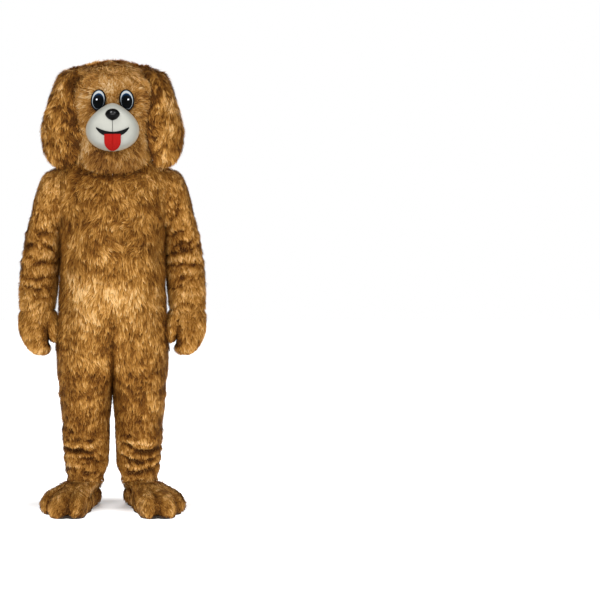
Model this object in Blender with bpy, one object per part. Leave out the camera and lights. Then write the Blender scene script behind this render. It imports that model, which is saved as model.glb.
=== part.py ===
# Shaggy dog mascot costume: head, suit, mitts, tail and foot covers, worn shape, empty inside.
# It faces -Y and its own left side is +X. Tables are in millimetres, heights from the floor.
# The origin is the middle of the neck opening, where the wearer's shoulders carry the suit.
import bisect
import math

import bpy
from mathutils import Vector

MOUNT_HEIGHT = 1400.0       # neck opening above the floor
SEAM_GAP = 0.3              # between neighbouring pieces
SUIT_WALL = 12.0            # fur fabric: backing and the pile that lies on it
HEAD_WALL = 14.0            # foam-backed fur
MITT_WALL = 9.0
FOOT_WALL = 9.0
SOLE_THICK = 11.0
SIDE_SEAM_Y = 12.0          # side seams of the suit run down this line
ARM_SEAM_X = 209.5          # armhole seams lie in this upright plane
ARMHOLE_LOW, ARMHOLE_HIGH = 1150.0, 1390.0
ARMHOLE_HALF_DEPTH = 98.0
ROUNDNESS = 2.3             # power of the ovals: 2 is an ellipse, more is squarer
THUMB_SEAM_X = 262.0        # thumb and hand part along this plane
THUMB_TIP_Z = 684.0         # below it the hand is free of the thumb
HIP_TOP, HIP_FULL = 712.0, 637.0
HIP_SPREAD = 26.0           # the hips stand out this far past the armhole planes
ANKLE = (116.0, 18.0)       # middle of the ankle in plan
TOE_OUT = math.radians(25)

FUR = ("fur", (0.45, 0.24, 0.09), 0.85)
PALE_FUR = ("pale_fur", (0.55, 0.36, 0.18), 0.85)
WHITE = ("white_shell", (0.85, 0.86, 0.83), 0.45)
BLACK = ("black", (0.012, 0.012, 0.014), 0.15)
RED = ("red_felt", (0.65, 0.03, 0.02), 0.6)
EYE_WHITE = ("eye_white", (0.75, 0.82, 0.9), 0.2)
EYE_DARK = ("eye_dark", (0.01, 0.03, 0.1), 0.08)
SOLE = ("sole", (0.05, 0.035, 0.03), 0.8)


class Table:
    """Rows of named columns in rising order of the first, read smoothly between them."""

    def __init__(self, names, rows):
        self.names = names.split()
        self.rows = sorted(rows)
        self.keys = [row[0] for row in self.rows]

    def read(self, at, *names):
        at = min(max(at, self.keys[0]), self.keys[-1])
        low = min(bisect.bisect_right(self.keys, at) - 1, len(self.keys) - 2)
        return [self.column(at, low, self.names.index(name)) for name in names]

    def column(self, at, low, column):
        span = self.keys[low + 1] - self.keys[low]
        t = (at - self.keys[low]) / span
        start, end = self.rows[low][column], self.rows[low + 1][column]
        m0, m1 = self.slope(low, column) * span, self.slope(low + 1, column) * span
        return ((1 + 2 * t) * (1 - t) ** 2 * start + t * (1 - t) ** 2 * m0
                + t * t * (3 - 2 * t) * end + t * t * (t - 1) * m1)

    def slope(self, index, column):
        def rise(i):
            return ((self.rows[i + 1][column] - self.rows[i][column])
                    / (self.keys[i + 1] - self.keys[i]))
        if index == 0:
            return rise(0)
        if index == len(self.keys) - 1:
            return rise(index - 1)
        before, after = rise(index - 1), rise(index)
        return 0.0 if before * after <= 0 else 2 * before * after / (before + after)


# Half of the suit's body, the left leg and half the torso: an oval about (mid_x, SIDE_SEAM_Y).
# closed says how far the inner leg is closed: 0 in the torso, 1 down the leg.
# rise lowers the hem at the back.
BODY = Table("z mid_x half_x front back closed rise", [
    (128, 113.5, 86.0, -84, 118, 1, -44),
    (150, 112.0, 87.0, -82, 119, 1, -26),
    (190, 109.5, 89.5, -83, 119, 1, 0),
    (250, 111.0, 93.0, -93, 119, 1, 0),
    (320, 112.0, 97.5, -110, 119, 1, 0),
    (385, 111.0, 104.0, -127, 123, 1, 0),
    (450, 113.0, 110.5, -143, 124, 1, 0),
    (517, 110.0, 118.0, -160, 132, 1, 0),
    (580, 97.0, 135.5, -177, 148, 1, 0),
    (640, 80.0, 155.0, -195, 168, 1, 0),
    (700, 60.0, 173.5, -210, 176, 1, 0),
    (745, 44.0, 185.0, -219, 177, 1, 0),
    (765, 36.0, 191.0, -223, 177, 0.6, 0),
    (785, 30.0, 193.0, -227, 177, 0.2, 0),
    (805, 24.0, 196.0, -230, 177, 0, 0),
    (850, 12.0, 202.0, -237, 177, 0, 0),
    (920, 0.0, 209.0, -242, 177, 0, 0),
    (1010, 0.0, 208.0, -242, 177, 0, 0),
    (1090, 0.0, 207.0, -236, 178, 0, 0),
    (1150, 0.0, 209.3, -225, 179, 0, 0),
    (1238, 0.0, 209.3, -201, 176, 0, 0),
    (1304, 0.0, 209.3, -172, 168, 0, 0),
    (1337, 0.0, 209.3, -152, 165, 0, 0),
    (1370, 0.0, 209.3, -130, 155, 0, 0),
    (1390, 0.0, 209.3, -108, 140, 0, 0),
    (1405, 0.0, 178.0, -97, 124, 0, 0),
    (1420, 0.0, 132.0, -88, 106, 0, 0),
])

# The sleeve: each ring runs from its under (armpit) point to its upper (outer) point.
SLEEVE = Table("ring under_x under_z outer_x outer_z mid_y half_y", [
    (0, 209.7, 1150, 209.7, 1390, 12, 98),
    (1, 211.0, 1149, 252, 1381, 12, 98),
    (2, 211.5, 1148, 283, 1362, 13, 97),
    (3, 211.5, 1147, 306, 1318, 14, 96),
    (4, 211.5, 1144, 324, 1262, 15, 95),
    (5, 211.5, 1140, 339, 1203, 16, 93),
    (6, 211.5, 1130, 352, 1150, 17, 91),
    (7, 212.5, 1092, 365, 1100, 17, 88),
    (8, 215.0, 1040, 374, 1043, 15, 84),
    (9, 221.0, 985, 382, 987, 10, 80),
    (10, 228.0, 930, 386, 931, 2, 77),
    (11, 233.0, 880, 385, 880, -12, 75),
    (12, 237.0, 845, 383, 845, -24, 73.5),
    (13, 240.0, 815.5, 381, 815.5, -33, 72),
])

# Largest folds: where, half height of the trough, depth, middle of its arc and the
# arc's half width in degrees (0 front, 90 outside, 180 back), slant across the arc.
LEG_FOLDS = [
    (168, 9, 6, 20, 130, 10),
    (205, 11, 8, -30, 120, -14),
    (248, 11, 8, 40, 110, 12),
    (300, 14, 6, 170, 90, -10),
    (430, 18, 7, 180, 70, 8),
    (470, 18, 5, 10, 60, -16),
]
SLEEVE_FOLDS = [
    (6.4, 0.25, 7, 10, 95, 0.3),
    (7.4, 0.28, 9, 30, 110, -0.3),
    (8.6, 0.28, 8, -20, 100, 0.35),
    (9.6, 0.25, 9, 40, 120, -0.25),
    (10.6, 0.25, 7, 150, 110, 0.2),
    (11.6, 0.22, 6, 10, 130, 0.2),
]

# The hand of the mitt and its thumb, as ovals from their inner to their outer side.
HAND = Table("z inner outer mid_y half_y", [
    (630, 272, 296, -66, 0), (631, 268, 302, -66, 20), (635, 261, 313, -66, 36),
    (643, 252, 328, -66, 52), (658, 246, 346, -66, 63), (681, 246, 361, -64, 70),
    (712, 248, 375, -60, 73), (745, 249, 382, -54, 73), (785, 250, 383, -44, 72),
    (813.4, 253, 378, -35, 69),
])
THUMB = Table("z inner outer mid_y half_y", [
    (686.5, 231, 249, -68, 0), (688, 228, 251, -68, 13), (693, 222, 255, -68, 24),
    (705, 214.5, 262, -67, 34), (727, 211, 272, -64, 40), (760, 213, 281, -57, 44),
    (790, 225, 284, -46, 45), (813.4, 236, 284, -38, 44),
])

# The head: an oval at each height about (0, mid_y); its lowest row follows the shoulders.
HEAD = Table("z half_x mid_y front back lift", [
    (1370, 156, 15, -151, 156, 1),
    (1400, 164, 18, -158, 172, 0.8),
    (1435, 172, 20, -161, 189, 0.5),
    (1470, 180, 20, -160, 203, 0.25),
    (1510, 186, 20, -152, 211, 0.08),
    (1560, 190, 20, -158, 220, 0),
    (1600, 191, 20, -170, 222, 0),
    (1650, 190, 20, -179, 214, 0),
    (1697, 185, 18, -179, 202, 0),
    (1735, 173, 15, -165, 185, 0),
    (1765, 155, 12, -138, 161, 0),
    (1792, 122, 10, -95, 126, 0),
    (1809, 80, 10, -52, 82, 0),
    (1818, 30, 10, -14, 40, 0),
    (1820, 0, 10, -4, 26, 0),
])
HEAD_BACK_RISE, HEAD_SIDE_RISE = 32.0, 30.0
RIM_SEAT = -0.6             # the shoulders' flat facets lie this far inside their curve
FACE_TOP, FACE_SPREAD = 1762.0, 50.0      # the face panel: its top and half its arc in degrees

# The ear: thickness and distance out from the head, front and back edges at each height.
EAR = Table("z clear thick front back", [
    (1394, 54, 30, -56, -14), (1402, 42, 47, -76, 10), (1414, 27, 68, -88, 26),
    (1430, 17, 84, -99, 40), (1468, 9, 98, -112, 60), (1533, 6, 100, -118, 71),
    (1599, 4.5, 87, -118, 74), (1665, 3.2, 70, -114, 74), (1730, 2.8, 62, -100, 68),
    (1763, 2.6, 62, -84, 60), (1790, 4.5, 54, -58, 42), (1800, 5.0, 38, -44, 30),
    (1806, 5.0, 16, -28, 16),
])
EAR_INNER_SHARE, EAR_EDGE = 0.38, 5.0

# The tail: half width, and how far it reaches from the body's back.
TAIL = Table("z half_x near far", [
    (478, 0, 182, 216), (480, 13, 176, 222), (490, 26, 168, 231), (514, 41, 159, 245),
    (550, 48, 159, 253), (600, 45, 168, 248), (650, 38, 173, 233), (700, 28, 175, 215),
    (735, 17, 172.8, 200), (758, 5, 173.8, 186),
])

# Discs that together give the foot's outline: along the foot, across it, radius.
FOOT_DISCS = [
    (-24, 11, 70), (40, 6, 72), (100, 2, 82), (150, 2, 84),
    (182, -44, 50), (204, 8, 50), (172, 68, 40),
]
# Rings of the foot cover: height, share of the outline (the rest is the ankle), swell.
FOOT_RINGS = Table("ring z share swell", [
    (0, 11.4, 1.0, -9), (1, 26, 1.0, -1), (2, 44, 1.0, 0), (3, 62, 0.98, -4),
    (4, 78, 0.9, -7), (5, 90, 0.68, -7), (6, 101, 0.42, -5), (7, 112, 0.2, -3),
    (8, 123, 0.03, -1), (9, 160, 0.0, 0),
])

# The face: all heights and sizes of plain ovals.
MUZZLE_MID_Z, MUZZLE_HALF_X, MUZZLE_UP, MUZZLE_DOWN = 1521.0, 104.0, 106.0, 75.0
MUZZLE_REACH, MUZZLE_LAP, MUZZLE_TAPER = 82.0, 9.0, 0.3
NOSE = (0.0, 1585.0, 28.0, 24.5)          # x, z, half width, half height
EYE_X, EYE_Z, EYE_HALF_X, EYE_HALF_Z = 54.0, 1643.0, 29.5, 41.5
EYE_LEAN = math.radians(6)
MOUTH_HALF, MOUTH_DROP = 61.0, 20.0       # half width of the smile and how far it sags
MOUTH_CORNER_Z = 1528.0
TONGUE_HALF, TONGUE_TOP, TONGUE_TIP = 32.0, 1505.0, 1446.0


def signed_power(value, power):
    return math.copysign(abs(value) ** power, value)


def oval(phi, mid_x, half_x, mid_y, front, back):
    """A point of a squarish oval: phi is 0 at the front and a right angle at +X."""
    depth = mid_y - front if math.cos(phi) > 0 else back - mid_y
    return (mid_x + half_x * signed_power(math.sin(phi), 2 / ROUNDNESS),
            mid_y - depth * signed_power(math.cos(phi), 2 / ROUNDNESS))


def fold_depth(folds, phi, at):
    """How deep the folds lie at an angle round a tube and a height along it."""
    depth = 0.0
    for middle, half_height, deep, facing, half_arc, slant in folds:
        turn = (math.degrees(phi) - facing + 180) % 360 - 180
        if abs(turn) < half_arc:
            reach = math.cos(math.pi / 2 * turn / half_arc)
            off = (at - middle - slant * turn / half_arc) / half_height
            depth += deep * reach * math.exp(-off * off)
    return depth


def armhole_half_depth(z):
    middle = (ARMHOLE_LOW + ARMHOLE_HIGH) / 2
    reach = abs(z - middle) / (ARMHOLE_HIGH - middle)
    return ARMHOLE_HALF_DEPTH * (1 - min(reach, 1.0) ** ROUNDNESS) ** (1 / ROUNDNESS)


def body_half_x(z, depth):
    """Half width of a body row; at the armhole it widens to pass through the hole's edge."""
    half_x = BODY.read(z, "half_x")[0]
    if ARMHOLE_LOW < z < ARMHOLE_HIGH:
        share = armhole_half_depth(z) / depth
        half_x = ARM_SEAM_X / (1 - share ** ROUNDNESS) ** (1 / ROUNDNESS)
    return half_x


def side_limit(z):
    """How wide the suit may be at a height: at the armholes and beside the thumbs it is flat."""
    share = min(max((HIP_TOP - z) / (HIP_TOP - HIP_FULL), 0), 1)
    return ARM_SEAM_X - SEAM_GAP / 2 + HIP_SPREAD * share * share * (3 - 2 * share)


def body_surface(phi, z):
    mid_x, front, back, rise = BODY.read(z, "mid_x", "front", "back", "rise")
    front_side = math.cos(phi) > 0
    depth = SIDE_SEAM_Y - front if front_side else back - SIDE_SEAM_Y
    half_x = body_half_x(z, depth)
    x, y = oval(phi, mid_x, half_x, SIDE_SEAM_Y, front, back)
    shrink = 1 - fold_depth(LEG_FOLDS, phi, z) / 110
    x = mid_x + (x - mid_x) * shrink
    y = SIDE_SEAM_Y + (y - SIDE_SEAM_Y) * shrink
    x = min(max(x, SEAM_GAP / 2), side_limit(z))
    return Vector((x, y, z + rise * (1 - math.cos(phi)) / 2))


def body_range(z, front_side):
    """Angles of a panel's two edges in this row: centre or inner leg, and side or armhole."""
    mid_x, front, back, closed = BODY.read(z, "mid_x", "front", "back", "closed")
    depth = SIDE_SEAM_Y - front if front_side else back - SIDE_SEAM_Y
    half_x = body_half_x(z, depth)
    inner = -math.asin(min(mid_x / half_x, 1.0) ** (ROUNDNESS / 2))
    inner += closed * (-math.pi / 2 - inner)
    outer = math.asin(min(ARM_SEAM_X / half_x, 1.0) ** (ROUNDNESS / 2))
    return (inner, outer) if front_side else (math.pi - outer, math.pi - inner)


def sleeve_surface(phi, ring):
    under_x, under_z, outer_x, outer_z, mid_y, half_y = SLEEVE.read(
        ring, "under_x", "under_z", "outer_x", "outer_z", "mid_y", "half_y")
    shrink = 1 - fold_depth(SLEEVE_FOLDS, phi, ring) / 80
    along = signed_power(math.sin(phi), 2 / ROUNDNESS) * shrink
    across = signed_power(math.cos(phi), 2 / ROUNDNESS) * shrink
    return Vector(((under_x + outer_x) / 2 + (outer_x - under_x) / 2 * along,
                   mid_y - half_y * across,
                   (under_z + outer_z) / 2 + (outer_z - under_z) / 2 * along))


def tube_surface(table, limits):
    """The surface of a mitt's hand or thumb, flat against the plane where the two part."""
    def surface(phi, z):
        low, high = limits(z)
        inner, outer, mid_y, half_y = table.read(z, "inner", "outer", "mid_y", "half_y")
        x, y = oval(phi, (inner + outer) / 2, (outer - inner) / 2,
                    mid_y, mid_y - half_y, mid_y + half_y)
        return Vector((min(max(x, low), high), y, z))
    return surface


def shoulder_height(x, y):
    """Height of the suit's shoulders above a point in plan."""
    low, high = BODY.keys[-8], BODY.keys[-1]
    for _ in range(18):
        z = (low + high) / 2
        front, back = BODY.read(z, "front", "back")
        depth = SIDE_SEAM_Y - front if y < SIDE_SEAM_Y else back - SIDE_SEAM_Y
        half_x = body_half_x(z, depth)
        inside = (abs(x) / half_x) ** ROUNDNESS + (abs(y - SIDE_SEAM_Y) / depth) ** ROUNDNESS < 1
        low, high = (z, high) if inside else (low, z)
    return low


def rim_lift(phi):
    """How far the head's lower edge rises over the shoulders, from its height at the front."""
    half_x, mid_y, front, back = HEAD.read(HEAD.keys[0], "half_x", "mid_y", "front", "back")
    rise = (HEAD_BACK_RISE * (1 - math.cos(phi)) / 2 + HEAD_SIDE_RISE * math.sin(phi) ** 2)
    x, y = oval(phi, 0, half_x, mid_y, front, back)
    inner = 1 - HEAD_WALL / half_x
    rest = max(shoulder_height(x * k, mid_y + (y - mid_y) * k) for k in (inner, 1.0))
    return max(rise, rest + RIM_SEAT - HEAD.keys[0])


def head_surface(phi, z):
    half_x, mid_y, front, back, lift = HEAD.read(z, "half_x", "mid_y", "front", "back", "lift")
    x, y = oval(phi, 0, half_x, mid_y, front, back)
    return Vector((x, y, z + (lift * rim_lift(phi) if lift > 0.001 else 0)))


def head_half_x(y, z):
    """Half width of the head at a depth and height."""
    half_x, mid_y, front, back = HEAD.read(z, "half_x", "mid_y", "front", "back")
    depth = mid_y - front if y < mid_y else back - mid_y
    return half_x * (1 - min(abs(y - mid_y) / depth, 0.98) ** ROUNDNESS) ** (1 / ROUNDNESS)


def face_y(x, z):
    """Depth of the head's front surface at a point seen from the front."""
    half_x, mid_y, front = HEAD.read(z, "half_x", "mid_y", "front")
    return mid_y - (mid_y - front) * (1 - min(abs(x) / half_x, 0.98) ** ROUNDNESS) ** (1 / ROUNDNESS)


def face_edge(z):
    """Angle of the seam between the face panel and the crown."""
    reach = max(FACE_TOP - z, 0) / (FACE_TOP - 1650)
    return math.radians(FACE_SPREAD) * math.sqrt(max(1 - (1 - min(reach, 1)) ** 2, 0))


def surface_normal(surface, phi, at, step):
    """Outward normal of a surface of angle and row, from points close by."""
    side = surface(phi + 0.02, at) - surface(phi - 0.02, at)
    up = surface(phi, at + step) - surface(phi, at - step)
    return side.cross(up).normalized()


def flipped(face):
    """The same face seen from its other side, cut into triangles along the same diagonal."""
    return (face[0],) + face[:0:-1]


def slab(name, outer, inner, material, mirrored=False):
    """One closed solid between two grids of points."""
    rows, columns = len(outer), len(outer[0])
    points = [p for row in outer for p in row] + [p for row in inner for p in row]
    half = rows * columns
    faces = []
    for r in range(rows - 1):
        for c in range(columns - 1):
            a = r * columns + c
            face = (a, a + 1, a + columns + 1, a + columns)
            faces.append(face)
            faces.append(tuple(half + i for i in flipped(face)))
    top = half - columns
    for a in range(columns - 1):
        faces.append((a + 1, a, half + a, half + a + 1))
        faces.append((top + a, top + a + 1, half + top + a + 1, half + top + a))
    for r in range(rows - 1):
        a, b = r * columns, (r + 1) * columns
        faces.append((a, b, half + b, half + a))
        a, b = a + columns - 1, b + columns - 1
        faces.append((a, half + a, half + b, b))
    return solid(name, points, faces, material, mirrored)


def solid(name, points, faces, material, mirrored=False):
    side = -1 if mirrored else 1
    places = [((side * x) / 1000, y / 1000, (z - MOUNT_HEIGHT) / 1000) for x, y, z in points]
    if mirrored:
        faces = [flipped(face) for face in faces]
    mesh = bpy.data.meshes.new(name)
    mesh.from_pydata(places, [], faces)
    mesh.shade_smooth()
    mesh.set_sharp_from_angle(angle=math.radians(50))
    mesh.materials.append(finish(material))
    piece = bpy.data.objects.new(name, mesh)
    bpy.context.scene.collection.objects.link(piece)
    return piece


def finish(material):
    name, colour, roughness = material
    if name in bpy.data.materials:
        return bpy.data.materials[name]
    made = bpy.data.materials.new(name)
    made.use_nodes = True
    shader = made.node_tree.nodes["Principled BSDF"]
    shader.inputs["Base Color"].default_value = (*colour, 1)
    shader.inputs["Roughness"].default_value = roughness
    return made


def steps(*legs):
    """Row values: (start, end, count) legs, each end shared with the next start."""
    rows = [legs[0][0]]
    for start, end, count in legs:
        rows += [start + (end - start) * (i + 1) / count for i in range(count)]
    return rows


def even(start, end, count):
    """Angles from start to end in equal steps."""
    return [start + (end - start) * i / count for i in range(count + 1)]


def panel_grids(surface, rows, angles_at, thick, step, shift, keep_x):
    """Outer and inner points of a wall; its two edge columns move apart by shift along Y."""
    outer, inner = [], []
    for at in rows:
        angles = angles_at(at)
        places = [surface(phi, at) for phi in angles]
        depths = [p - surface_normal(surface, phi, at, step) * thick
                  for p, phi in zip(places, angles)]
        for grid, row in ((outer, places), (inner, depths)):
            if shift:
                seam_y = (max if shift < 0 else min)(row[0].y, row[-1].y) + shift
                row = [Vector((p.x, (min if shift < 0 else max)(p.y, seam_y), p.z)) for p in row]
            low, high = keep_x(at)
            grid.append([Vector((min(max(p.x, low), high), p.y, p.z)) for p in row])
    return outer, inner


def make_pair(name, outer, inner, material):
    slab(name + "_left", outer, inner, material)
    slab(name + "_right", outer, inner, material, True)


def make_suit():
    rows = steps((128, 300, 9), (300, 720, 7), (720, 805, 4), (805, 1150, 5), (1150, 1390, 6),
                 (1390, 1420, 2))
    for name, front_side, shift in (("suit_front", True, -1), ("suit_back", False, 1)):
        outer, inner = panel_grids(
            body_surface, rows, lambda z: even(*body_range(z, front_side), 7), SUIT_WALL, 1.5,
            shift * SEAM_GAP / 2, lambda z: (SEAM_GAP / 2, side_limit(z)))
        make_pair(name, outer, inner, FUR)


def make_sleeves():
    rows = steps((0, 5, 5), (5, 13, 11))
    quarter = math.pi / 2
    for name, start, shift in (("sleeve_front", -quarter, -1), ("sleeve_back", quarter, 1)):
        outer, inner = panel_grids(
            sleeve_surface, rows,
            lambda ring: even(start, start + math.pi, 7), -SUIT_WALL, 0.03,
            shift * SEAM_GAP / 2, lambda ring: (ARM_SEAM_X + SEAM_GAP / 2, 1000))
        make_pair(name, [row[::-1] for row in outer], [row[::-1] for row in inner], FUR)


def tip_rows(table, count):
    """Rows from a rounded tip upwards, close together at the tip."""
    low, high = table.keys[0], table.keys[-1]
    return [low + (high - low) * (1 - math.cos(math.pi / 2 * i / count)) for i in range(count + 1)]


def make_mitts():
    quarter = math.pi / 2
    def hand_side(z):
        return THUMB_SEAM_X + SEAM_GAP / 2 - max(THUMB_TIP_Z - z, 0), 1000

    def thumb_side(z):
        return -1000, THUMB_SEAM_X - SEAM_GAP / 2

    tubes = (("mitt_", HAND, hand_side, 7, 6), ("thumb_", THUMB, thumb_side, 5, 6))
    halves = (("back", -quarter, -1), ("palm", quarter, 1))
    for tube, table, side, row_count, columns in tubes:
        for half, start, shift in halves:
            outer, inner = panel_grids(
                tube_surface(table, side), tip_rows(table, row_count),
                lambda z: even(start, start + math.pi, columns), MITT_WALL, 0.6,
                shift * SEAM_GAP / 2, side)
            make_pair(tube + half, outer, inner, FUR)


def foot_reach(angle):
    """The foot's outline from the ankle's middle; angle is 0 at the front, turning to +X."""
    turned = angle - TOE_OUT
    ahead, across = math.cos(turned), math.sin(turned)
    reach = 0.0
    for along, side, radius in FOOT_DISCS:
        ahead_by = along * ahead + side * across
        off = along * across - side * ahead
        if abs(off) < radius:
            reach = max(reach, ahead_by + math.sqrt(radius * radius - off * off))
    return reach


def ankle_reach(angle):
    """The leg's inside at the ankle, from the ankle's middle."""
    mid_x, half_x, front, back = BODY.read(150, "mid_x", "half_x", "front", "back")
    half_x -= SUIT_WALL + 5.6
    depth = (ANKLE[1] - front if math.cos(angle) > 0 else back - ANKLE[1]) - SUIT_WALL - 7.2
    return 1 / math.hypot(math.sin(angle) / half_x, math.cos(angle) / depth)


def foot_surface(angle, ring):
    z, share, swell = FOOT_RINGS.read(ring, "z", "share", "swell")
    radius = share * foot_reach(angle) + (1 - share) * ankle_reach(angle) + swell
    front = (1 + math.cos(angle)) / 2
    z -= max(z - 62, 0) * 0.7 * (1 - front)
    return Vector((ANKLE[0] + radius * math.sin(angle), ANKLE[1] - radius * math.cos(angle), z))


def foot_angles():
    """Angles round the foot: the toe part's, close together at the toes, and the heel part's."""
    half, count = math.radians(100), 22
    trim = SEAM_GAP / 150
    toes = [(2 * i / count - 1) for i in range(count + 1)]
    toes = [TOE_OUT + (half - trim) * (0.45 * t + 0.55 * t ** 3) for t in toes]
    return toes, even(TOE_OUT + half + trim, TOE_OUT + 2 * math.pi - half - trim, 7)


def make_feet():
    rows = steps((0, 8, 7), (8, 9, 1))
    toes, heel = foot_angles()
    for name, angles in (("foot_toes", toes), ("foot_heel", heel)):
        outer, inner = panel_grids(foot_surface, rows, lambda ring: angles, FOOT_WALL, 0.1, 0.0,
                                   lambda ring: (SEAM_GAP, 1000))
        make_pair(name, outer, inner, FUR)
    outline = [(ANKLE[0] + (foot_reach(a) - 9) * math.sin(a),
                ANKLE[1] - (foot_reach(a) - 9) * math.cos(a)) for a in toes + heel]
    count = len(outline)
    points = [(x, y, z) for z in (0.0, SOLE_THICK) for x, y in outline]
    faces = [tuple(range(count - 1, -1, -1)), tuple(range(count, 2 * count))]
    faces += [(i, (i + 1) % count, count + (i + 1) % count, count + i) for i in range(count)]
    solid("sole_left", points, faces, SOLE)
    solid("sole_right", points, faces, SOLE, True)


def make_tail():
    """Two stuffed halves: each a rounded side and a flat face on the middle seam."""
    rows, columns = tip_rows(TAIL, 10), 9
    points, faces = [], []
    for z in rows:
        half_x, near, far = TAIL.read(z, "half_x", "near", "far")
        middle, half_y = (near + far) / 2, (far - near) / 2
        points += [(SEAM_GAP / 2 + half_x * math.sin(a), middle - half_y * math.cos(a), z)
                   for a in even(0, math.pi, columns - 1)]
    for r in range(len(rows) - 1):
        a, b = r * columns, (r + 1) * columns
        faces += [(a + c, a + c + 1, b + c + 1, b + c) for c in range(columns - 1)]
        faces.append((b, b + columns - 1, a + columns - 1, a))
    faces.append(tuple(range(b, b + columns)))
    faces.append(tuple(range(columns - 1, -1, -1)))
    solid("tail_left", points, faces, FUR)
    solid("tail_right", points, faces, FUR, True)


def make_head():
    point = FACE_TOP - SEAM_GAP
    rows = steps((1370, 1510, 4), (1510, 1720, 5), (1720, point, 3), (point, FACE_TOP, 1),
                 (FACE_TOP, 1820, 5))
    trim = SEAM_GAP / 300

    def crown_edges(z):
        return even(face_edge(z) + (trim if z < FACE_TOP else 0), math.pi, 8)

    outer, inner = panel_grids(head_surface, rows, crown_edges, HEAD_WALL, 1.5, 0.0,
                               lambda z: (SEAM_GAP / 2, 1000))
    make_pair("head_crown", outer, inner, FUR)
    rows = [z for z in rows if z < FACE_TOP]
    outer, inner = panel_grids(
        head_surface, rows, lambda z: even(trim - face_edge(z), face_edge(z) - trim, 8),
        HEAD_WALL, 1.5, 0.0, lambda z: (-1000, 1000))
    slab("head_face", outer, inner, PALE_FUR)


def make_ears():
    rows = steps((1394, 1468, 3), (1468, 1640, 3), (1640, 1790, 6), (1790, 1806, 2))
    columns = 8
    outer, middle_out, middle_in, inner = [], [], [], []
    for z in rows:
        clear, thick, front, back = EAR.read(z, "clear", "thick", "front", "back")
        lists = [[], [], [], []]
        for c in range(columns + 1):
            across = math.sin(math.pi * (c / columns - 0.5))
            y = (front + back) / 2 + (back - front) / 2 * across
            puff = EAR_EDGE + (thick - EAR_EDGE) * (1 - abs(across) ** 2.4) ** 0.55
            seam = head_half_x(y, z) + clear + puff * EAR_INNER_SHARE
            places = (seam + puff * (1 - EAR_INNER_SHARE), seam + SEAM_GAP / 2,
                      seam - SEAM_GAP / 2, seam - puff * EAR_INNER_SHARE)
            for row, x in zip(lists, places):
                row.append(Vector((x, y, z)))
        for grid, row in zip((outer, middle_out, middle_in, inner), lists):
            grid.append(row)
    make_pair("ear_outer", outer, middle_out, FUR)
    make_pair("ear_inner", middle_in, inner, FUR)


def plate(name, centre, outline, rings, back, front, material, mirrored=False, turns=24):
    """A domed piece seen from the front: outline gives its reach at an angle from its centre."""
    cx, cz = centre
    points, faces = [], []
    for side in (back, front):
        points.append((cx, side(cx, cz, 0.0), cz))
        for k in range(1, rings + 1):
            share = math.sin(math.pi / 2 * k / rings)
            for i in range(turns):
                angle = 2 * math.pi * i / turns
                dx, dz = outline(angle)
                x, z = cx + dx * share, cz + dz * share
                points.append((x, side(x, z, share), z))
    half = 1 + rings * turns
    for i in range(turns):
        j = (i + 1) % turns
        faces.append((0, 1 + i, 1 + j))
        faces.append((half, half + 1 + j, half + 1 + i))
        for k in range(rings - 1):
            a, b = 1 + k * turns + i, 1 + k * turns + j
            faces.append((a, a + turns, b + turns, b))
            faces.append((half + a, half + b, half + b + turns, half + a + turns))
        a, b = 1 + (rings - 1) * turns + i, 1 + (rings - 1) * turns + j
        faces.append((a, half + a, half + b, b))
    return solid(name, points, faces, material, mirrored)


def muzzle_outline(angle):
    """Pear shape: full below its middle, narrowing to a rounded top."""
    across, up = math.sin(angle), math.cos(angle)
    if up < 0:
        return MUZZLE_HALF_X * across, MUZZLE_DOWN * up
    return MUZZLE_HALF_X * across * (1 - MUZZLE_TAPER * up), MUZZLE_UP * up


def muzzle_base(x, z):
    """The face surface, but stepped forward at the top where the muzzle laps over the eyes."""
    return face_y(x, z) - MUZZLE_LAP * min(max((z - 1565) / 30, 0), 1)


def muzzle_front(x, z):
    """Depth of the muzzle's front at a point seen from the front."""
    dz = z - MUZZLE_MID_Z
    up = dz / (MUZZLE_UP if dz > 0 else MUZZLE_DOWN)
    width = MUZZLE_HALF_X * (1 - MUZZLE_TAPER * max(up, 0))
    away = min(math.hypot(x / width, up), 1.0)
    dome = (1 - away ** 2.3) ** (1 / 1.9)
    return muzzle_base(x, z) - 8.0 - MUZZLE_REACH * dome


def mouth_z(x):
    """The smile's upper line."""
    return MOUTH_CORNER_Z - MOUTH_DROP * (1 - (x / MOUTH_HALF) ** 2)


def make_mouth():
    """A dark crescent on the muzzle, thick in its middle and pointed at its corners."""
    count = 16
    outer, inner = [], []
    for k in range(4):
        out_row, in_row = [], []
        for i in range(count + 1):
            x = MOUTH_HALF * (1 - 2 * i / count)
            thick = 2.5 + 11.0 * (1 - abs(x / MOUTH_HALF) ** 1.6)
            z = mouth_z(x) - thick * k / 3
            out_row.append(Vector((x, muzzle_front(x, z) - 2.4, z)))
            in_row.append(Vector((x, muzzle_front(x, z) - 1.2, z)))
        outer.append(out_row)
        inner.append(in_row)
    slab("mouth", outer, inner, BLACK)


def make_tongue():
    """A flat tongue out of the mouth, hanging down the muzzle with a rounded tip."""
    rows, columns = 8, 8
    outer, inner = [], []
    for r in range(rows + 1):
        z = TONGUE_TOP + (TONGUE_TIP - TONGUE_TOP) * math.sin(math.pi / 2 * r / rows)
        drop = (TONGUE_TOP - z) / (TONGUE_TOP - TONGUE_TIP)
        half = TONGUE_HALF * max(1 - max(drop - 0.35, 0) ** 2 / 0.65 ** 2, 0.02) ** 0.5
        out_row, in_row = [], []
        for c in range(columns + 1):
            x = half * math.cos(math.pi * c / columns)
            groove = 1.6 * math.exp(-(x / 5) ** 2)
            base = muzzle_front(x, z) - 3.0
            out_row.append(Vector((x, base - 7.0 + groove + 2.5 * (x / TONGUE_HALF) ** 2, z)))
            in_row.append(Vector((x, base, z)))
        outer.append(out_row)
        inner.append(in_row)
    slab("tongue", outer, inner, RED)


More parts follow.
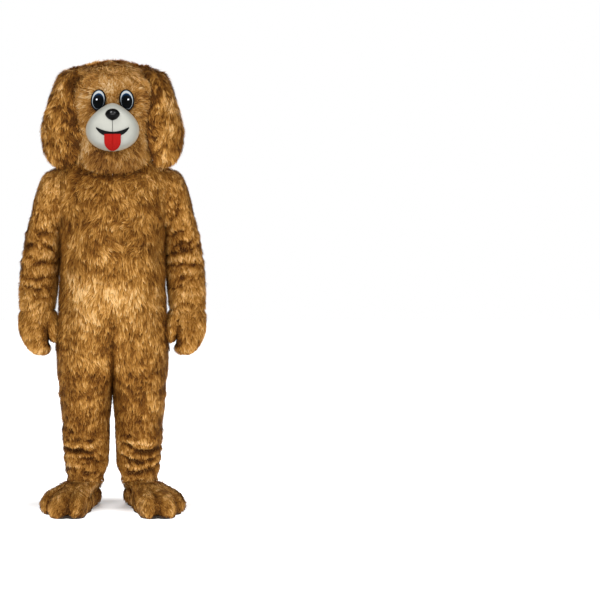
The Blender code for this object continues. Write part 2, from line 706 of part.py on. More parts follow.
def ellipse(half_x, half_z, lean=0.0):
    def outline(angle):
        dx, dz = half_x * math.sin(angle), half_z * math.cos(angle)
        return dx * math.cos(lean) + dz * math.sin(lean), dz * math.cos(lean) - dx * math.sin(lean)
    return outline


def dome(base, lift, height, inward=1.0):
    """Depth of a dome that stands lift off a surface and rises by height at its middle."""
    return lambda x, z, share: base(x, z) - lift - height * math.sqrt(max(1 - (share * inward) ** 2, 0))


def make_face():
    plate("muzzle", (0, MUZZLE_MID_Z), muzzle_outline, 5,
          dome(muzzle_base, 2.1, 0), dome(muzzle_front, 0, 0), WHITE, turns=24)
    x, z, half_x, half_z = NOSE
    plate("nose", (x, z), ellipse(half_x, half_z), 4, dome(muzzle_front, 2.5, 0),
          dome(muzzle_front, 6, 17), BLACK, turns=16)
    make_mouth()
    make_tongue()
    for name, mirrored in (("_left", False), ("_right", True)):
        centre = (EYE_X, EYE_Z)
        plate("eye_rim" + name, centre, ellipse(EYE_HALF_X, EYE_HALF_Z, -EYE_LEAN), 2,
              dome(face_y, 1.0, 0), dome(face_y, 4.5, 6), BLACK, mirrored, 16)
        plate("eye_white" + name, centre, ellipse(EYE_HALF_X - 3, EYE_HALF_Z - 3, -EYE_LEAN), 2,
              dome(face_y, 5.7, 6, 0.95), dome(face_y, 8, 6, 0.95), EYE_WHITE, mirrored, 16)
        plate("eye_dark" + name, (EYE_X - 1, EYE_Z - 5), ellipse(EYE_HALF_X - 8, EYE_HALF_Z - 10, -EYE_LEAN),
              2, dome(face_y, 9.5, 6, 0.8), dome(face_y, 11.5, 6, 0.8), EYE_DARK, mirrored, 16)


def clear_scene():
    for thing in list(bpy.data.objects):
        bpy.data.objects.remove(thing, do_unlink=True)


clear_scene()
make_suit()
make_sleeves()
make_mitts()
make_feet()
make_tail()
make_head()
make_ears()
make_face()
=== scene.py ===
# Shaggy dog mascot costume in worn shape: fur panels over their cloth, a moulded muzzle, felt and gloss face parts.
# Tables are in millimetres from the floor and become metres at the neck mount. It faces -Y, its left side is +X.
import math

import bpy
import numpy as np
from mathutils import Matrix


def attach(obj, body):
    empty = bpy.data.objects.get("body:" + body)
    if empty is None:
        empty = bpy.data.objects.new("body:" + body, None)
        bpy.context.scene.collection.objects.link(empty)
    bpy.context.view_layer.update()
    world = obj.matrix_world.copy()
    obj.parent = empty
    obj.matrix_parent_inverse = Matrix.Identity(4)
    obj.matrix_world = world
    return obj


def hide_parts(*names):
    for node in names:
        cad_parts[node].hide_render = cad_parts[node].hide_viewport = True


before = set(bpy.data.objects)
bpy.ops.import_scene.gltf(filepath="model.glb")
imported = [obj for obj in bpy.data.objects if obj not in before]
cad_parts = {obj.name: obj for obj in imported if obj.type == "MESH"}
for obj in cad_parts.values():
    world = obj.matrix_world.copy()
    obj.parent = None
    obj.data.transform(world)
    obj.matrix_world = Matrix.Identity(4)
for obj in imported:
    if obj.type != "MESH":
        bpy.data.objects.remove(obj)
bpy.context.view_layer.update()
print("frame loaded,", len(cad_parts), "nodes")

mountHeight = 1400.0  # mm from the floor to the neck opening
seamGap = 0.3
roundness = 2.3  # power of the ovals, 2 is an ellipse
sideSeamY = 12.0
armSeamX = 209.5
thumbSeamX = 262.0
rimHeight = 1370.0  # the head's lower rim, before it follows the shoulders
rimGap = -0.6  # the rim lies this deep on the shoulders
headWall = 14.0
faceTop = 1762.0  # where the face panel ends
armhole = {"middle": 1270.0, "halfHeight": 120.0, "halfDepth": 98.0}
sides = ("_left", "_right")


# From 0 at start to 1 at start + span, held at both ends.
def ease(value, start, span):
    return np.clip((value - start) / span, 0, 1)


# 1 at 0, falling off over a width.
def bell(value, width):
    return np.exp(-(value / width) ** 2)


# Every piece moves with the one body and hides the solids it stands for.
def setOn(piece, slot, *nodes):
    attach(piece, "root")
    if nodes:
        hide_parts(*nodes)


# A table's columns, read smoothly and without overshoot between its rows.
def tableReader(rows):
    rows = np.array(sorted(rows), float)
    keys, values = rows[:, 0], rows[:, 1:]
    span = np.diff(keys)[:, None]
    rise = np.diff(values, axis=0) / span
    both = rise[:-1] * rise[1:]
    total = np.where(both > 0, rise[:-1] + rise[1:], 1)
    slope = np.vstack([rise[:1], np.where(both > 0, 2 * both / total, 0), rise[-1:]])

    def read(at):
        at = np.clip(np.asarray(at, float), keys[0], keys[-1])
        low = np.clip(np.searchsorted(keys, at, side="right") - 1, 0, len(keys) - 2)
        t = ((at - keys[low]) / span[low, 0])[..., None]
        m0, m1 = slope[low] * span[low], slope[low + 1] * span[low]
        out = ((1 + 2 * t) * (1 - t) ** 2 * values[low] + t * (1 - t) ** 2 * m0
               + t * t * (3 - 2 * t) * values[low + 1] + t * t * (t - 1) * m1)
        return np.moveaxis(out, -1, 0)
    return read


# Suit, per row: z, mid x, half x, front, back, how far the inner leg is closed, rise of the hem.
bodyAt = tableReader([
    (128, 113.5, 86, -84, 118, 1, -44), (150, 112, 87, -82, 119, 1, -26), (190, 109.5, 89.5, -83, 119, 1, 0),
    (250, 111, 93, -93, 119, 1, 0), (320, 112, 97.5, -110, 119, 1, 0), (385, 111, 104, -127, 123, 1, 0),
    (450, 113, 110.5, -143, 124, 1, 0), (517, 110, 118, -160, 132, 1, 0), (580, 97, 135.5, -177, 148, 1, 0),
    (640, 80, 155, -195, 168, 1, 0), (700, 60, 173.5, -210, 176, 1, 0), (745, 44, 185, -219, 177, 1, 0),
    (765, 36, 191, -223, 177, 0.6, 0), (785, 30, 193, -227, 177, 0.2, 0), (805, 24, 196, -230, 177, 0, 0),
    (850, 12, 202, -237, 177, 0, 0), (920, 0, 209, -242, 177, 0, 0), (1010, 0, 208, -242, 177, 0, 0),
    (1090, 0, 207, -236, 178, 0, 0), (1150, 0, 209.3, -225, 179, 0, 0), (1238, 0, 209.3, -201, 176, 0, 0),
    (1304, 0, 209.3, -172, 168, 0, 0), (1337, 0, 209.3, -152, 165, 0, 0), (1370, 0, 209.3, -130, 155, 0, 0),
    (1390, 0, 209.3, -108, 140, 0, 0), (1405, 0, 178, -97, 124, 0, 0), (1420, 0, 132, -88, 106, 0, 0),
])
# Sleeve, per ring: under x and z, outer x and z, mid y, half y.
sleeveAt = tableReader([
    (0, 209.7, 1150, 209.7, 1390, 12, 98), (1, 211, 1149, 252, 1381, 12, 98), (2, 211.5, 1148, 283, 1362, 13, 97),
    (3, 211.5, 1147, 306, 1318, 14, 96), (4, 211.5, 1144, 324, 1262, 15, 95), (5, 211.5, 1140, 339, 1203, 16, 93),
    (6, 211.5, 1130, 352, 1150, 17, 91), (7, 212.5, 1092, 365, 1100, 17, 88), (8, 215, 1040, 374, 1043, 15, 84),
    (9, 221, 985, 382, 987, 10, 80), (10, 228, 930, 386, 931, 2, 77), (11, 233, 880, 385, 880, -12, 75),
    (12, 237, 845, 383, 845, -24, 73.5), (13, 240, 815.5, 381, 815.5, -33, 72),
])
# Hand and thumb of the mitt, per height: inner x, outer x, mid y, half y.
handAt = tableReader([
    (630, 272, 296, -66, 0), (631, 268, 302, -66, 20), (635, 261, 313, -66, 36), (643, 252, 328, -66, 52),
    (658, 246, 346, -66, 63), (681, 246, 361, -64, 70), (712, 248, 375, -60, 73), (745, 249, 382, -54, 73),
    (785, 250, 383, -44, 72), (813.4, 253, 378, -35, 69),
])
thumbAt = tableReader([
    (686.5, 231, 249, -68, 0), (688, 228, 251, -68, 13), (693, 222, 255, -68, 24), (705, 214.5, 262, -67, 34),
    (727, 211, 272, -64, 40), (760, 213, 281, -57, 44), (790, 225, 284, -46, 45), (813.4, 236, 284, -38, 44),
])
# Head, per height: half x, mid y, front, back, how far the row follows the shoulders.
headAt = tableReader([
    (1370, 156, 15, -151, 156, 1), (1400, 164, 18, -158, 172, 0.8), (1435, 172, 20, -161, 189, 0.5),
    (1470, 180, 20, -160, 203, 0.25), (1510, 186, 20, -152, 211, 0.08), (1560, 190, 20, -158, 220, 0),
    (1600, 191, 20, -170, 222, 0), (1650, 190, 20, -179, 214, 0), (1697, 185, 18, -179, 202, 0),
    (1735, 173, 15, -165, 185, 0), (1765, 155, 12, -138, 161, 0), (1792, 122, 10, -95, 126, 0),
    (1809, 80, 10, -52, 82, 0), (1818, 30, 10, -14, 40, 0), (1820, 0, 10, -4, 26, 0),
])
# Ear, per height: distance out from the head, thickness, front and back edge.
earAt = tableReader([
    (1394, 54, 30, -56, -14), (1402, 42, 47, -76, 10), (1414, 27, 68, -88, 26), (1430, 17, 84, -99, 40),
    (1468, 9, 98, -112, 60), (1533, 6, 100, -118, 71), (1599, 4.5, 87, -118, 74), (1665, 3.2, 70, -114, 74),
    (1730, 2.8, 62, -100, 68), (1763, 2.6, 62, -84, 60), (1790, 4.5, 54, -58, 42), (1800, 5, 38, -44, 30),
    (1806, 5, 16, -28, 16),
])
# Tail, per height: half x, near and far side of its oval.
tailAt = tableReader([
    (478, 0, 182, 216), (480, 13, 176, 222), (490, 26, 168, 231), (514, 41, 159, 245), (550, 48, 159, 253),
    (600, 45, 168, 248), (650, 38, 173, 233), (700, 28, 175, 215), (735, 17, 172.8, 200), (758, 5, 173.8, 186),
])
# Foot cover, per ring: height, share of the foot's outline, swell.
footAt = tableReader([
    (0, 11.4, 1, -9), (1, 26, 1, -1), (2, 44, 1, 0), (3, 62, 0.98, -4), (4, 78, 0.9, -7), (5, 90, 0.68, -7),
    (6, 101, 0.42, -5), (7, 112, 0.2, -3), (8, 123, 0.03, -1), (9, 160, 0, 0),
])
footDiscs = [(-24, 11, 70), (40, 6, 72), (100, 2, 82), (150, 2, 84),
             (182, -44, 50), (204, 8, 50), (172, 68, 40)]
toeGrooves = [(-8.8, 4.0, 18), (15.3, 4.0, 16), (-50, 8, 5)]  # degrees from the toes' middle, half width, depth
anklePlace = (116.0, 18.0)
toeOut = math.radians(25)

# Creases: middle along the tube, half height, depth, facing and half arc in degrees, slant.
legCreases = [
    (168, 9, 6, 20, 130, 10), (205, 11, 8, -30, 120, -14), (248, 11, 8, 40, 110, 12), (300, 14, 6, 170, 90, -10),
    (430, 18, 7, 180, 70, 8), (470, 18, 5, 10, 60, -16),
]
legFolds = {
    "_left": [
        (271, 6, 10, -27, 35, -22), (253, 6, 10, 24, 49, 8), (215, 6, 10, -21, 31, -20), (214, 5, 6, 24, 42, 17),
        (164, 5, 8, -27, 22, -7), (170, 5, 11, 13, 49, 18), (234, 5, -5, -26, 38, -18), (231, 5, -5, 30, 50, 10),
        (187, 5, -5, -25, 30, -7), (194, 5, -5, 23, 47, 14), (314, 8, 5, -31, 30, -7), (286, 7, -4, 0, 60, -10),
    ],
    "_right": [
        (250, 8, 11, 16, 42, 5), (221, 6, 9, -5, 24, 0), (297, 8, 7, 5, 53, -2), (272, 6, -6, 16, 61, -7),
        (232, 5, -5, 11, 55, -3), (191, 6, -6, 30, 52, -2), (161, 5, 9, -12, 20, 7), (170, 5, 8, 66, 33, -3),
        (334, 9, 5, 8, 84, 6), (205, 6, 7, -40, 30, 12),
    ],
}
legBackFolds = [  # behind the knee, at the seat and over the waist
    (950, 13, 4, 150, 38, 26), (908, 11, 4, 166, 30, 20), (1003, 12, 3, 142, 34, 18), (868, 12, 4, 146, 34, 16),
    (432, 16, 8, 166, 55, 14), (398, 13, 6, 195, 45, -12), (455, 11, 5, 190, 40, 8), (416, 6, -5, 175, 50, 6),
    (560, 14, 6, 160, 45, -20), (620, 12, 5, 165, 40, -16), (520, 12, 5, 195, 40, 14),
]
legWrinkles = [
    (300, 8, 6, 98, 42, 9), (338, 9, 6, 78, 36, -9), (440, 10, 5, 85, 40, 10), (480, 10, 5, 100, 40, -10),
    (184, 7, 6, 90, 40, -8), (262, 8, 6, 95, 50, 10), (225, 8, 6, 85, 40, -10), (375, 12, 5, 15, 60, 8),
    (410, 12, 5, -40, 50, -10), (505, 16, 5, 60, 50, 14), (365, 9, 5, 200, 60, 10), (232, 8, 7, 190, 70, 8),
    (200, 7, 6, 165, 60, -8), (268, 8, 6, 175, 70, 8), (560, 18, 5, 0, 60, 20), (610, 18, 4, 180, 60, -16),
]
sleeveCreases = [
    (6.4, 0.25, 7, 10, 95, 0.3), (7.4, 0.28, 9, 30, 110, -0.3), (8.6, 0.28, 8, -20, 100, 0.35),
    (9.6, 0.25, 9, 40, 120, -0.25), (10.6, 0.25, 7, 150, 110, 0.2), (11.6, 0.22, 6, 10, 130, 0.2),
]
sleeveFolds = {
    "_left": [
        (3.5, 0.26, 7, -13, 40, -0.5), (6.3, 0.17, 6, -28, 57, -0.6), (7.2, 0.16, 11, -7, 51, -0.26),
        (7.8, 0.16, 11, -24, 95, -0.49), (8.75, 0.13, 9, -18, 95, -0.11), (9.65, 0.16, 5, -16, 59, -0.08),
        (10.45, 0.16, 5, -41, 50, 0.0), (11.9, 0.16, 4, -12, 65, 0.19), (7.5, 0.14, -4, -10, 60, -0.35),
        (8.3, 0.18, -4, -15, 80, -0.25), (4.6, 0.33, 6, -45, 40, -0.9),
    ],
    "_right": [
        (6.2, 0.2, 6, 7, 40, 0.0), (7.3, 0.16, 10, 37, 52, 0.38), (7.5, 0.16, 11, -29, 47, -0.64),
        (8.2, 0.13, 5, 33, 22, -0.04), (8.57, 0.13, 8, -21, 64, -0.19), (9.7, 0.12, 7, -16, 60, 0.0),
        (10.43, 0.13, 8, -2, 84, -0.11), (11.3, 0.16, 5, -14, 30, 0.08), (4.8, 0.26, 7, -40, 54, -1.88),
        (3.3, 0.26, 6, -45, 35, -1.2), (7.0, 0.2, -4, 0, 60, -0.2), (8.0, 0.18, -4, -20, 60, -0.3),
    ],
}
sleeveWrinkles = [
    (4.6, 0.2, 4.5, 80, 42, 0.35), (5.4, 0.2, 5, 105, 42, -0.35), (6.1, 0.18, 4.5, 76, 38, 0.3),
    (6.9, 0.18, 5, 104, 44, -0.25), (7.6, 0.17, 5, 78, 40, 0.3), (8.3, 0.17, 5, 106, 40, -0.3),
    (9.1, 0.17, 4.5, 80, 36, 0.25), (9.9, 0.17, 4, 104, 38, -0.2), (7.0, 0.16, 7, 190, 60, 0.4),
    (7.8, 0.16, 8, 175, 70, -0.3), (8.7, 0.15, 8, 190, 65, 0.25), (9.5, 0.15, 8, 165, 75, -0.25),
    (10.3, 0.14, 7, 185, 70, 0.2), (11.3, 0.14, 6, 170, 80, -0.2), (4.4, 0.25, 6, 170, 60, 0.5),
    (5.2, 0.2, 6, 100, 50, 0.4), (8.3, 0.15, 6, 95, 45, 0.2), (10.0, 0.15, 5, 90, 45, -0.2),
]


def ovalPower(value):
    return np.sign(value) * np.abs(value) ** (2 / roundness)


# A squarish oval in plan: phi is 0 at the front and a right angle at +X.
def ovalPlace(phi, midX, halfX, midY, front, back):
    depth = np.where(np.cos(phi) > 0, midY - front, back - midY)
    return midX + halfX * ovalPower(np.sin(phi)), midY - depth * ovalPower(np.cos(phi))


# Each crease is a trough, or a ridge where its depth is negative, that wavers and fades at its ends.
def creaseDepth(creases, phi, at):
    depth = np.zeros(np.broadcast(phi, at).shape)
    for count, (middle, halfHeight, deep, facing, halfArc, slant) in enumerate(creases):
        turn = (np.degrees(phi) - facing + 180) % 360 - 180
        reach = np.where(np.abs(turn) < halfArc, np.cos(math.pi / 2 * turn / halfArc), 0)
        off = (at - middle - slant * turn / halfArc) / halfHeight + 0.5 * np.sin(0.15 * turn + 2.3 * count)
        depth += deep * reach * (1 + 0.35 * np.sin(0.21 * turn + 1.7 * count)) * np.exp(-off * off)
    return depth


# How wide a squarish oval still is at a share of the way to its end.
def ovalRest(share, most=1.0):
    return (1 - np.minimum(share, most) ** roundness) ** (1 / roundness)


# Beside the armhole the suit is widened, so that its flat side is as large as the sleeve's end.
def bodyHalfX(z, depth):
    reach = np.abs(z - armhole["middle"]) / armhole["halfHeight"]
    widened = armSeamX / ovalRest(armhole["halfDepth"] * ovalRest(reach) / depth, 0.99)
    return np.where(reach < 1, widened, bodyAt(z)[1])


# How wide the suit may be: flat at the armholes and beside the thumbs, wider at the hips.
def sideLimit(z):
    share = ease(z, 712, -75)
    return armSeamX - seamGap / 2 + 26 * share * share * (3 - 2 * share)


def legDepth(phi, z, folds):
    low = 1 + 0.35 * ease(z, 340, -40)
    return creaseDepth(legCreases, phi, z) * 0.4 + creaseDepth(legWrinkles + folds, phi, z) * low


def sleeveDepth(phi, ring, folds):
    return creaseDepth(sleeveCreases, phi, ring) * 0.3 + creaseDepth(sleeveWrinkles + folds, phi, ring)


def centreCrease(x, z):
    return 9 * bell(x, 9) * ease(z, 890, -120) * ease(z, 420, 60)


def suitSurface(phi, z, folds):
    midX, _, front, back, _, rise = bodyAt(z)
    depth = np.where(np.cos(phi) > 0, sideSeamY - front, back - sideSeamY)
    x, y = ovalPlace(phi, midX, bodyHalfX(z, depth), sideSeamY, front, back)
    shrink = 1 - legDepth(phi, z, folds) / 110
    x, y = midX + (x - midX) * shrink, sideSeamY + (y - sideSeamY) * shrink
    x = np.clip(x, seamGap / 2, sideLimit(z))
    y = y + centreCrease(x, z) * (y < sideSeamY)
    return np.stack([x, y, z + rise * (1 - np.cos(phi)) / 2], -1)


# The angles at which a suit piece starts and ends, at its inner leg or centre seam and its side.
def suitEdges(z, frontSide):
    midX, _, front, back, closed, _ = bodyAt(z)
    depth = sideSeamY - front if frontSide else back - sideSeamY
    halfX = bodyHalfX(z, depth)
    inner = -np.arcsin(np.minimum(midX / halfX, 1) ** (roundness / 2))
    inner = inner + closed * (-math.pi / 2 - inner)
    outer = np.arcsin(np.minimum(armSeamX / halfX, 1) ** (roundness / 2))
    return (inner, outer) if frontSide else (math.pi - outer, math.pi - inner)


def sleeveSurface(phi, ring, folds):
    underX, underZ, outerX, outerZ, midY, halfY = sleeveAt(ring)
    shrink = 1 - sleeveDepth(phi, ring, folds) / 80
    along, across = ovalPower(np.sin(phi)) * shrink, ovalPower(np.cos(phi)) * shrink
    return np.stack([(underX + outerX) / 2 + (outerX - underX) / 2 * along,
                     midY - halfY * across, (underZ + outerZ) / 2 + (outerZ - underZ) / 2 * along], -1)


def tubeSurface(table, limits):
    def surface(phi, z):
        low, high = limits(z)
        inner, outer, midY, halfY = table(z)
        x, y = ovalPlace(phi, (inner + outer) / 2, (outer - inner) / 2, midY, midY - halfY, midY + halfY)
        return np.stack([np.clip(x, low, high), y, z + 0 * x], -1)
    return surface


# The height of the shoulders over a place, found by halving.
def shoulderHeight(x, y):
    low, high = np.full(np.shape(x), 1238.0), np.full(np.shape(x), 1420.0)
    for _ in range(18):
        z = (low + high) / 2
        _, _, front, back, _, _ = bodyAt(z)
        depth = np.where(y < sideSeamY, sideSeamY - front, back - sideSeamY)
        inside = (np.abs(x) / bodyHalfX(z, depth)) ** roundness + (np.abs(y - sideSeamY) / depth) ** roundness < 1
        low, high = np.where(inside, z, low), np.where(inside, high, z)
    return low


# How far the head's rim rises round the head, so that it stays clear of the shoulders.
def rimLift(phi):
    halfX, midY, front, back, _ = headAt(rimHeight)
    rise = 32 * (1 - np.cos(phi)) / 2 + 30 * np.sin(phi) ** 2
    x, y = ovalPlace(phi, 0, halfX, midY, front, back)
    inner = 1 - headWall / halfX
    rest = np.maximum(shoulderHeight(x * inner, midY + (y - midY) * inner), shoulderHeight(x, y))
    return np.maximum(rise, rest + rimGap - rimHeight)


rimAngles = np.linspace(-0.1, 2 * math.pi + 0.1, 400)
rimLifts = rimLift(rimAngles)


def headSurface(phi, z):
    halfX, midY, front, back, lift = headAt(z)
    x, y = ovalPlace(phi, 0, halfX, midY, front, back)
    return np.stack([x, y, z + lift * np.interp(np.abs(phi), rimAngles, rimLifts)], -1)


def headHalfX(y, z):
    halfX, midY, front, back, _ = headAt(z)
    depth = np.where(y < midY, midY - front, back - midY)
    return halfX * ovalRest(np.abs(y - midY) / depth, 0.98)


def faceY(x, z):
    halfX, midY, front, _, _ = headAt(z)
    return midY - (midY - front) * ovalRest(np.abs(x) / halfX, 0.98)


def faceEdge(z):
    reach = ease(z, faceTop, -112)
    return math.radians(50) * np.sqrt(np.maximum(1 - (1 - reach) ** 2, 0))


def footReach(angle):
    turned = angle - toeOut
    ahead, across = np.cos(turned), np.sin(turned)
    reach = np.zeros(np.shape(angle))
    for along, side, radius in footDiscs:
        off = along * across - side * ahead
        hit = along * ahead + side * across + np.sqrt(np.maximum(radius ** 2 - off ** 2, 0))
        reach = np.where(np.abs(off) < radius, np.maximum(reach, hit), reach)
    return reach


def ankleReach(angle):
    depth = np.where(np.cos(angle) > 0, 100.0, 101.0) - 19.2
    return 1 / np.hypot(np.sin(angle) / 69.4, np.cos(angle) / depth)


# How deep the grooves between the toes are round the foot.
def toeGroove(angle):
    turned = np.degrees(angle - toeOut)
    return sum(deep * bell(turned - facing, halfWidth) for facing, halfWidth, deep in toeGrooves)


def footSurface(angle, ring):
    z, share, swell = footAt(ring)
    groove = toeGroove(angle) * ease(ring, 7.2, -3.5)
    flat = ease(ring, 2.5, 2)  # on the instep the groove is cut downwards
    radius = share * footReach(angle) + (1 - share) * ankleReach(angle) + swell - groove * (1 - flat)
    z = z - np.maximum(z - 62, 0) * 0.35 * (1 - np.cos(angle)) - groove * flat * 0.8
    return np.stack([anklePlace[0] + radius * np.sin(angle), anklePlace[1] - radius * np.cos(angle), z], -1)


# Gives a tree one short call for a node: a socket among the values is linked, anything else is set.
def nodeMaker(tree):
    def node(kind, values={}, **settings):
        new = tree.nodes.new(kind)
        for key, value in settings.items():
            setattr(new, key, value)
        for key, value in values.items():
            socket = next((s for s in new.inputs if s.identifier == key), None) or new.inputs[key]
            if isinstance(value, bpy.types.NodeSocket):
                tree.links.new(value, socket)
            else:
                socket.default_value = value
        return new
    return node


def ramp(node, factor, stops):
    made = node("ShaderNodeValToRGB", {"Fac": factor})
    band = made.color_ramp.elements
    while len(band) < len(stops):
        band.new(0.5)
    for stop, (at, colour) in zip(band, stops):
        stop.position, stop.color = at, (*colour, 1)
    return made.outputs["Color"]


def newMaterial(name, roughness, **constants):
    made = bpy.data.materials.new(name)
    made.use_nodes = True
    shader = made.node_tree.nodes["Principled BSDF"]
    shader.inputs["Roughness"].default_value = roughness
    for socket, value in constants.items():
        shader.inputs[socket.replace("_", " ")].default_value = value
    node, link = nodeMaker(made.node_tree), made.node_tree.links.new

    def paint(factor, stops):
        link(ramp(node, factor, stops), shader.inputs["Base Color"])
    return made, shader, node, link, paint


def bump(node, link, shader, height, strength, distance):
    made = node("ShaderNodeBump", {"Height": height, "Strength": strength, "Distance": distance})
    link(made.outputs["Normal"], shader.inputs["Normal"])


def vectorMaths(node, operation, a, b=(0.0, 0.0, 0.0)):
    made = node("ShaderNodeVectorMath", {0: a, "Scale" if operation == "SCALE" else 1: b}, operation=operation)
    return made.outputs["Value" if operation in ("DOT_PRODUCT", "DISTANCE", "LENGTH") else "Vector"]


def ownPlace(node):
    return node("ShaderNodeTexCoord").outputs["Object"]


def grain(node, place, scale, detail):
    return node("ShaderNodeTexNoise", {"Vector": place, "Scale": scale, "Detail": detail}).outputs["Fac"]


# Fur reads its own map: across is the lock's tone, up is the way from root to tip.
def furMaterial(name, stops):
    made, _, node, _, paint = newMaterial(name, 0.7, Specular_IOR_Level=0.07)
    place = node("ShaderNodeSeparateXYZ", {"Vector": node("ShaderNodeUVMap", uv_map="OFBake").outputs["UV"]})
    along = node("ShaderNodeMapRange", {"Value": place.outputs["Y"], "To Min": -0.24, "To Max": 0.16})
    tone = node("ShaderNodeMath", {0: place.outputs["X"], 1: along.outputs["Result"]}, operation="ADD")
    paint(tone.outputs["Value"], stops)
    return made


# A matt finish with a fine grain in its colour and its surface.
def grainMaterial(name, roughness, gloss, scale, detail, stops, strength, distance):
    made, shader, node, link, paint = newMaterial(name, roughness, Specular_IOR_Level=gloss)
    fine = grain(node, ownPlace(node), scale, detail)
    paint(fine, stops)
    bump(node, link, shader, fine, strength, distance)
    return made


fur = furMaterial("brownFur", [(0.0, (0.06, 0.02, 0.003)), (0.25, (0.19, 0.068, 0.009)), (0.5, (0.38, 0.168, 0.03)),
                               (0.75, (0.65, 0.34, 0.09)), (1.0, (0.9, 0.6, 0.26))])
paleFur = furMaterial("paleFur", [(0.0, (0.04, 0.014, 0.003)), (0.25, (0.17, 0.064, 0.011)),
                                  (0.5, (0.38, 0.18, 0.04)), (0.75, (0.58, 0.38, 0.175)), (1.0, (0.73, 0.57, 0.37))])
backing = grainMaterial("furBacking", 0.9, 0.1, 260.0, 3.0,
                        [(0.3, (0.16, 0.066, 0.013)), (0.7, (0.34, 0.155, 0.036))], 0.5, 0.003)
soleRubber = grainMaterial("soleRubber", 0.8, 0.2, 500.0, 2.0,
                           [(0.3, (0.02, 0.014, 0.01)), (0.8, (0.045, 0.032, 0.024))], 0.4, 0.001)
feltBlack = grainMaterial("feltBlack", 0.85, 0.05, 900.0, 3.0,
                          [(0.3, (0.004, 0.004, 0.004)), (0.8, (0.012, 0.012, 0.012))], 0.4, 0.0006)
feltRed = grainMaterial("feltRed", 0.8, 0.04, 900.0, 3.0,
                        [(0.3, (0.27, 0.006, 0.005)), (0.8, (0.37, 0.013, 0.01))], 0.4, 0.0006)
print("finishes made")


# One lock of fur: a narrow leaf of three faces, from its root to its tip.
def lockObject():
    mesh = bpy.data.meshes.new("lock")
    mesh.from_pydata([(-0.32, 0, 0), (0.32, 0, 0), (0.5, 0.42, 0.075), (-0.5, 0.42, 0.075), (0, 1, -0.02)],
                     [], [(0, 1, 2, 3), (3, 2, 4)])
    for name, values in (("along", (0, 0, 0.42, 0.42, 1)), ("across", (0, 1, 1, 0, 0.5))):
        mesh.attributes.new(name, "FLOAT", "POINT").data.foreach_set("value", values)
    return bpy.data.objects.new("lock", mesh)


furInputs = [  # name, kind, default
    ("Locks per m2", "Float", 60000.0), ("Length", "Float", 0.034), ("Width", "Float", 0.0042),
    ("Lift", "Float", 0.32), ("Comb", "Vector", (0.0, 0.0, -1.0)), ("Away from", "Vector", (0.0, 0.0, 0.0)),
    ("Away", "Float", 0.0), ("Swirl", "Float", 2.6), ("Swirls per m", "Float", 11.0),
    ("Clumps per m", "Float", 70.0), ("Pull", "Float", 0.5), ("Tone", "Float", 0.42),
    ("Patch tone", "Float", 0.55), ("Clump tone", "Float", 0.4), ("Lock tone", "Float", 0.3), ("Seed", "Int", 0),
]


